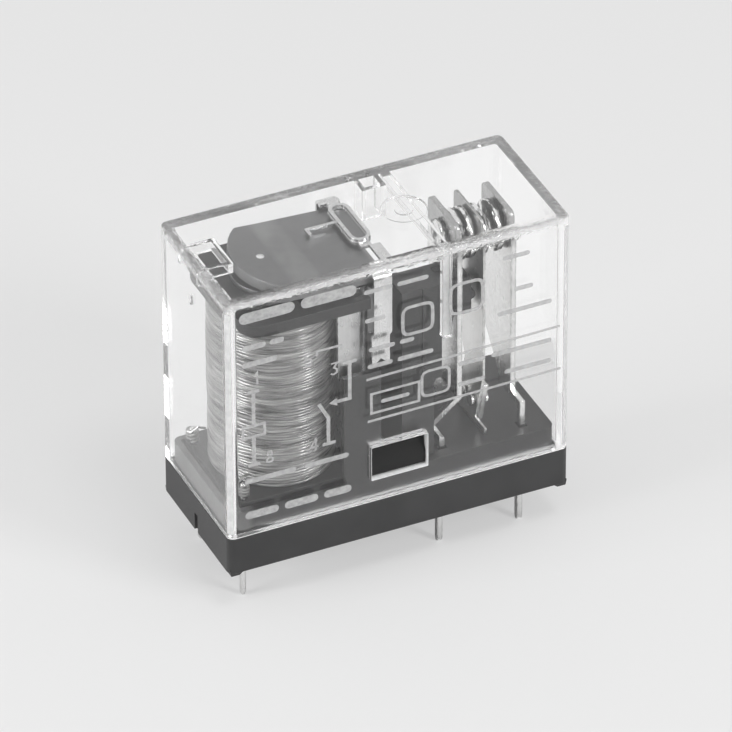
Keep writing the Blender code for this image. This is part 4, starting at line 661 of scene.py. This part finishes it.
def banded(name, outlines, levels, material, node, axis="Z"):
    """Closed band: four outlines of equal count, each at its own level along an axis, joined in turn."""
    rings = [np.column_stack([outline, np.full(len(outline), level)])
             for outline, level in zip(outlines, levels)]
    points = np.stack(rings + rings[:1])
    if axis == "Y":
        points = points[:, :, [0, 2, 1]]
    mesh = closed_at_poles(grid_mesh(name, points, True, False))
    piece = add_piece(name, mesh, MATERIALS[material], BODY_OF[node])


def make_cover_edge():
    """Frosted lower edge of the cover, in the seam: a flat band carried round the cover's outline."""
    low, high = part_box("cover")
    wall, corner = 0.75 * MM, 0.6 * MM
    insets = (0.04 * MM, 0.04 * MM, wall, wall)
    outlines = [rounded_rectangle(high.x - inset, high.y - inset, max(corner - inset, 0.05 * MM), 7)
                for inset in insets]
    levels = [low.z - below * MM for below in (0.07, 0.02, 0.02, 0.07)]
    banded("cover_edge", outlines, levels, "frosted_edge_and_painted_light", "cover")


def make_painted_window_lights():
    """Pale reveals of the two latch windows, painted light that stands for the light refracted in them: a
    thin band carried round each opening, through the wall.
    """
    half_x, half_z, middle, skin = 2.395 * MM, 1.545 * MM, 6.75 * MM, 0.02 * MM
    outer = CAD_BOX_HALF_WIDTH - 0.03 * MM
    inner = outer - 0.68 * MM
    for name, sign in (("front", -1), ("rear", 1)):
        outlines = [rounded_rectangle(half_x - inset, half_z - inset, 0.04 * MM, 3) + [0, middle]
                    for inset in (0, 0, skin, skin)]
        levels = [sign * value for value in (outer, inner, inner, outer)]
        banded("painted_window_light_" + name, outlines, levels, "frosted_edge_and_painted_light", "cover", "Y")


def make_painted_corner_lights():
    """Pale strip down the two front corners, just inside the wall, painted light that stands for the light
    refracted in the corners: a thin rounded strip.

    Its plan follows the corner's own circle at a smaller radius, with a short straight leg at one end.
    """
    low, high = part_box("cover")
    radius, skin, inset = 0.32 * MM, 0.03 * MM, 0.22 * MM
    turn = np.linspace(0, np.pi / 2, 9)
    for name, sign in (("left", -1), ("right", 1)):
        sides = []
        for reach in (radius, radius - skin):
            arc = reach * np.column_stack([np.cos(turn), np.sin(turn)])
            sides.append(np.concatenate([[[reach, -0.05 * MM]], arc]))
        outline = np.concatenate([sides[0], sides[1][::-1]])
        x = sign * (high.x - inset - radius + outline[:, 0])
        y = -(high.y - inset - radius + outline[:, 1])
        bottom, top = low.z + 0.3 * MM, high.z - 0.9 * MM
        points = np.stack([np.column_stack([x, y, np.full(len(x), level)]) for level in (bottom, top)])
        mesh = closed_at_poles(grid_mesh("painted_corner_light_" + name, points, True, True))
        piece = add_piece("painted_corner_light_" + name, mesh, MATERIALS["frosted_edge_and_painted_light"], BODY_OF["cover"])


def make_painted_rib_light():
    """Pale face at the back of the rib that hangs on the front wall, painted light that stands for the light
    guided down the clear rib: a thin rounded plate behind it.
    """
    middle, half_x, half_z, skin = (4.205 * MM, 20.27 * MM), 0.35 * MM, 3.82 * MM, 0.02 * MM
    back = -4.93 * MM
    outlines = [rounded_rectangle(half_x * share, half_z * share, 0.1 * MM * share, 5) + middle
                for share in (0.001, 1, 1, 0.001)]
    banded("hanging_rib_painted_light", outlines, [back, back, back + skin, back + skin], "frosted_edge_and_painted_light", "cover", "Y")


def make_ring_web():
    """Strip of the hinge spring inside its raised ring: a slot-shaped plate with a shallow dished top."""
    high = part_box("hinge_spring")[1]
    middle_x, middle_y = -0.9 * MM, 0.9 * MM
    half_length, half_width = 2.2 * MM, 0.62 * MM
    turn = np.linspace(0, 2 * np.pi, 64, endpoint=False)
    reach = half_length - half_width
    share = np.array([0, 0.35, 0.7, 0.9, 1.0, 1.0, 0.9, 0.0])[:, None]
    dish = np.array([-0.05, -0.045, -0.03, -0.01, 0.0, -0.12, -0.13, -0.13])[:, None] * MM
    x = middle_x + share * half_width * np.cos(turn)
    y = middle_y + share * (half_width * np.sin(turn) + reach * np.clip(np.sin(turn) * 6, -1, 1))
    z = np.broadcast_to(high.z - 0.42 * MM + dish, x.shape)
    mesh = closed_at_poles(grid_mesh("hinge_spring_web", np.stack([x, y, z], axis=-1), True, False))
    piece = add_piece("hinge_spring_web", mesh, MATERIALS["plated_steel"], BODY_OF["hinge_spring"])


# Print on the front wall, in millimetres along the wall and up from the underside

def ribbon(points, width, closed=False):
    """Flat band along a line in the front wall: each side is the line pushed out by half its width."""
    line = np.array(points, float)
    ahead = np.roll(line, -1, axis=0) - line
    behind = line - np.roll(line, 1, axis=0)
    if not closed:
        ahead[-1], behind[0] = behind[-1], ahead[0]
    ahead /= np.linalg.norm(ahead, axis=1)[:, None]
    behind /= np.linalg.norm(behind, axis=1)[:, None]
    along = ahead + behind
    along /= np.linalg.norm(along, axis=1)[:, None]
    mitre = 1 / np.maximum((along * ahead).sum(axis=1), 0.4)
    reach = mitre * np.broadcast_to(width, len(line)) / 2
    across = np.stack([-along[:, 1], along[:, 0]], axis=1) * reach[:, None]
    return line + across, line - across, closed


def bar(left, right, middle, height):
    """Bar with round ends: a band whose width follows a half circle at each end."""
    reach = height / 2
    turn = np.linspace(0.25, np.pi / 2, 5)
    step = reach * (1 - np.cos(turn))
    width = height * np.sin(turn)
    x = np.concatenate([left + step, right - step[::-1]])
    return ribbon(np.column_stack([x, np.full(len(x), middle)]), np.concatenate([width, width[::-1]]))


def ring(x, z, radius, width, squareness=2.0):
    """Closed loop: a superellipse, round at squareness 2 and nearly square at 5."""
    turn = np.linspace(0, 2 * np.pi, 48, endpoint=False)
    power = 2 / squareness
    shape = [np.sign(f) * np.abs(f) ** power for f in (np.cos(turn), np.sin(turn))]
    return ribbon(np.column_stack([x + radius * shape[0], z + radius * shape[1]]), width, True)


def pin_number(digit, x, z, size=1.1, width=0.16):
    """Plain terminal number, drawn in straight bands within its height."""
    strokes = {
        1: [[(-0.25, 0.75), (0.05, 1.0), (0.05, 0.0)]],
        3: [[(-0.3, 0.95), (0.3, 0.95), (0.0, 0.58), (0.28, 0.4), (0.25, 0.12), (-0.02, 0.0), (-0.3, 0.1)]],
        4: [[(0.15, 0.0), (0.15, 1.0), (-0.35, 0.3), (0.4, 0.3)]],
        5: [[(0.28, 1.0), (-0.25, 1.0), (-0.28, 0.55), (0.1, 0.6), (0.3, 0.35), (0.15, 0.03), (-0.3, 0.05)]],
        8: [[(-0.22, 0.08), (0.22, 0.08), (0.28, 0.3), (-0.22, 0.72), (-0.15, 0.95), (0.15, 0.95),
             (0.22, 0.72), (-0.28, 0.3), (-0.22, 0.08)]],
    }
    return [ribbon(np.array(line) * [size * 0.8, size] + [x, z], width) for line in strokes[digit]]


def front_print_bands():
    """Every band of the front print: symbols, ruled lines, pin numbers, plain bars and rounded squares."""
    line, thin, bold = 0.3, 0.2, 0.75
    coil = [ribbon([(-12.2, 16.5), (-12.2, 13.55)], line), ribbon([(-12.2, 12.35), (-12.2, 9.9)], line),
            ribbon([(-13.1, 12.45), (-11.3, 12.45), (-11.3, 13.45), (-13.1, 13.45)], 0.24, True),
            ribbon([(-12.7, 16.6), (-11.7, 16.6)], line), ribbon([(-12.7, 9.8), (-11.7, 9.8)], line)]
    contacts = [ribbon([(-4.8, 17.0), (-3.6, 17.0)], line),
                ribbon([(-4.2, 16.85), (-4.2, 13.6), (-5.3, 13.6)], line),
                ribbon([(-5.9, 13.6), (-5.25, 13.6)], np.array([0.05, bold])),
                ribbon([(-6.8, 13.8), (-6.0, 12.3), (-6.0, 10.05)], line),
                ribbon([(-6.5, 9.9), (-5.4, 9.9)], line),
                ribbon([(-6.9, 18.3), (-6.9, 18.75), (-4.9, 18.75), (-4.9, 18.3)], thin)]
    bands = coil + contacts
    bands += pin_number(1, -11.9, 17.2) + pin_number(8, -10.9, 9.6) + pin_number(3, -5.5, 16.2)
    bands += pin_number(4, -7.2, 9.6) + pin_number(5, -7.6, 17.6)
    bands += [ribbon([(-2.8, 14.85), (13.5, 15.05)], 0.22), ribbon([(-2.7, 10.9), (13.6, 11.05)], 0.22)]
    rows = [(23.5, 1.0, [(-13.3, -8.7), (-8.2, -3.6)]),
            (20.75, 0.5, [(-13.1, -11.1), (-10.8, -9.6)]), (19.2, 0.5, [(-13.1, -10.2)]),
            (8.35, 0.45, [(-13.0, -8.7), (-8.0, -4.3)]),
            (5.15, 0.7, [(-13.0, -10.2), (-9.7, -6.9), (-6.4, -4.1)]),
            (22.95, 0.4, [(-3.0, -0.6), (-0.2, 2.4)]), (20.3, 0.4, [(-2.9, -1.2)]),
            (17.55, 0.4, [(-2.6, -0.4), (0.0, 1.2)]), (16.0, 0.4, [(-2.7, -0.6), (-0.2, 2.8)]),
            (22.7, 0.4, [(8.6, 10.9)]), (19.6, 0.4, [(9.6, 11.2)]), (17.65, 0.4, [(8.2, 12.8)]),
            (14.0, 0.4, [(4.9, 7.2), (7.7, 12.8)]), (12.1, 0.4, [(4.9, 7.2), (8.8, 12.8)])]
    for middle, height, spans in rows:
        bands += [bar(left, right, middle, height) for left, right in spans]
    bands += [ring(1.5, 19.3, 1.25, 0.28, 5.0), ring(5.6, 20.1, 1.35, 0.28, 5.0),
              ring(3.0, 13.0, 1.15, 0.24, 5.0),
              ribbon([(-2.4, 11.6), (1.6, 11.6), (1.6, 13.4), (-2.4, 13.4)], 0.22, True),
              bar(-1.6, 0.8, 12.5, 0.35)]
    return bands


def make_front_print():
    """All bands of the print as one thin piece: two sides in front and two behind, closed at the ends."""
    front = -CAD_BOX_HALF_WIDTH
    places, faces, start = [], [], 0
    for left, right, closed in front_print_bands():
        count = len(left)
        sides = np.stack([left, right, right, left], axis=1) * MM
        depth = np.broadcast_to(front + np.array([0, 0, PRINT_SKIN, PRINT_SKIN]) * MM, (count, 4))
        points = np.stack([sides[:, :, 0], depth, sides[:, :, 1]], axis=-1)
        index = start + np.arange(count * 4).reshape(count, 4)
        after = np.roll(index, -1, axis=0) if closed else index[1:]
        before = index if closed else index[:-1]
        quads = np.stack([before, np.roll(before, -1, axis=1), np.roll(after, -1, axis=1), after], axis=-1)
        faces += quads.reshape(-1, 4).tolist()
        if not closed:
            faces += [index[0, ::-1].tolist(), index[-1].tolist()]
        places.append(points.reshape(-1, 3))
        start += count * 4
    mesh = bpy.data.meshes.new("front_print")
    mesh.from_pydata(np.concatenate(places).tolist(), [], faces)
    mesh.update()
    piece = add_piece("front_print", closed_at_poles(mesh), MATERIALS["pad_print"], BODY_OF["cover"])


# Floor, light and camera

def make_floor():
    """Pale floor at the pin tips, in the backdrop's own grey for camera and glass, with a soft shadow."""
    level = CAD_BOX[0][2]
    size = 1.5
    points = np.array([[[x, y, level] for x in (-size, size)] for y in (-size, size)])
    floor = bpy.data.objects.new("floor", grid_mesh("floor", points, False, False))
    bpy.context.scene.collection.objects.link(floor)
    material, tree, shader = new_material("pale_floor")[:3]
    shader.inputs["Base Color"].default_value = BACKDROP
    shader.inputs["Roughness"].default_value = 0.9
    shader.inputs["Specular IOR Level"].default_value = 0.0
    path = add_node(tree, "ShaderNodeLightPath")
    seen = maths(tree, "MAXIMUM", path.outputs["Is Camera Ray"], path.outputs["Is Transmission Ray"])
    plain = add_node(tree, "ShaderNodeEmission", {"Color": BACKDROP})
    extra = maths(tree, "MULTIPLY", path.outputs["Is Transmission Ray"], GLASS_FLOOR_STRENGTH)
    tree.links.new(maths(tree, "ADD", 1.0, extra), plain.inputs["Strength"])
    share = maths(tree, "ADD", maths(tree, "MULTIPLY", seen, FLOOR_SHOWN),
                  maths(tree, "MULTIPLY", path.outputs["Is Transmission Ray"], FLOOR_SHOWN_IN_GLASS))
    mix = add_node(tree, "ShaderNodeMixShader", {0: share, 1: shader.outputs[0], 2: plain.outputs[0]})
    tree.links.new(mix.outputs[0], tree.nodes["Material Output"].inputs["Surface"])
    floor.data.materials.append(material)


def make_world():
    """Plain pale surroundings: the backdrop's grey for camera, gloss and glass, and soft fill light."""
    world = bpy.data.worlds.new("surroundings")
    bpy.context.scene.world = world
    world.use_nodes = True
    tree = world.node_tree
    tree.nodes.clear()
    path = add_node(tree, "ShaderNodeLightPath")
    seen = maths(tree, "MAXIMUM", path.outputs["Is Camera Ray"],
                 maths(tree, "MAXIMUM", path.outputs["Is Glossy Ray"], path.outputs["Is Transmission Ray"]))
    fill = add_node(tree, "ShaderNodeBackground", {"Color": (1.0, 1.0, 1.0, 1.0), "Strength": FILL_STRENGTH})
    shown = add_node(tree, "ShaderNodeBackground", {"Color": BACKDROP, "Strength": 1.0})
    mix = add_node(tree, "ShaderNodeMixShader", {0: seen, 1: fill.outputs[0], 2: shown.outputs[0]})
    add_node(tree, "ShaderNodeOutputWorld", {"Surface": mix.outputs[0]})


def add_lamp(name, place, target, size, power):
    """Rectangular softbox that faces its target."""
    lamp = bpy.data.lights.new(name, "AREA")
    lamp.shape = "RECTANGLE"
    lamp.size, lamp.size_y = size
    lamp.energy = power
    holder = bpy.data.objects.new(name, lamp)
    bpy.context.scene.collection.objects.link(holder)
    holder.location = place
    holder.rotation_euler = (Vector(target) - Vector(place)).to_track_quat("-Z", "Y").to_euler()


def make_camera():
    """Camera at the photograph's angle, worked out from the relay's own corners in the picture."""
    azimuth, elevation, roll = (math.radians(v) for v in (-24.5379, 35.4634, -0.2621))
    distance, across, up_shift, scale = 0.6684, 0.0000083, -0.009178, 12.8833
    back = Vector((math.sin(azimuth) * math.cos(elevation), -math.cos(azimuth) * math.cos(elevation),
                   math.sin(elevation)))
    right = Vector((0, 0, 1)).cross(back).normalized()
    up = back.cross(right)
    turned_right = math.cos(roll) * right + math.sin(roll) * up
    turned_up = -math.sin(roll) * right + math.cos(roll) * up
    camera = bpy.data.cameras.new("camera")
    sensor = 36.0
    camera.sensor_width = sensor
    camera.lens = scale * distance / MM / PHOTO_SIZE * sensor
    camera.clip_start = 0.01
    holder = bpy.data.objects.new("camera", camera)
    bpy.context.scene.collection.objects.link(holder)
    turn = Matrix((turned_right, turned_up, back)).transposed().to_4x4()
    place = -across * turned_right - up_shift * turned_up + distance * back
    holder.matrix_world = Matrix.Translation(place) @ turn
    bpy.context.scene.camera = holder


bpy.context.scene.view_settings.view_transform = "Standard"
for limit in ("max_bounces", "glossy_bounces", "transmission_bounces"):
    setattr(bpy.context.scene.cycles, limit, WALL_BOUNCES)
make_camera()
make_world()
make_floor()
add_lamp("left_softbox", (-0.4, -0.01, 0.14), (0, 0, 0.01), (0.18, 0.18), 1.1)
add_lamp("right_softbox", (0.22, -0.36, 0.2), (0, 0, 0.012), (0.13, 0.3), 1.2)
add_lamp("overhead_softbox", (0.02, -0.16, 0.38), (0, 0, 0.01), (0.09, 0.09), 0.3)

ROUNDING = {
    "base": 0.05, "bobbin": 0.05, "core": 0.04, "yoke": 0.05, "armature": 0.05, "hinge_spring": 0.03,
    "card": 0.05, "break_terminal": 0.04, "make_terminal": 0.04, "common_terminal": 0.03,
    "moving_blade": 0.02, "coil_terminal_front": 0.03, "coil_terminal_rear": 0.03,
    "blade_rivet_front": 0.03, "blade_rivet_rear": 0.03,
}
for node_name, width in ROUNDING.items():
    softened(node_name, width * MM)
make_winding()
make_contacts()
make_cover()
make_cover_edge()
make_painted_window_lights()
make_painted_corner_lights()
make_painted_rib_light()
make_ring_web()
make_front_print()
for node_name in ("coil_lead_front", "coil_lead_rear"):
    lead = NODES[node_name]
    lead.data.materials.clear()
    lead.data.materials.append(MATERIALS["lead_wire"])
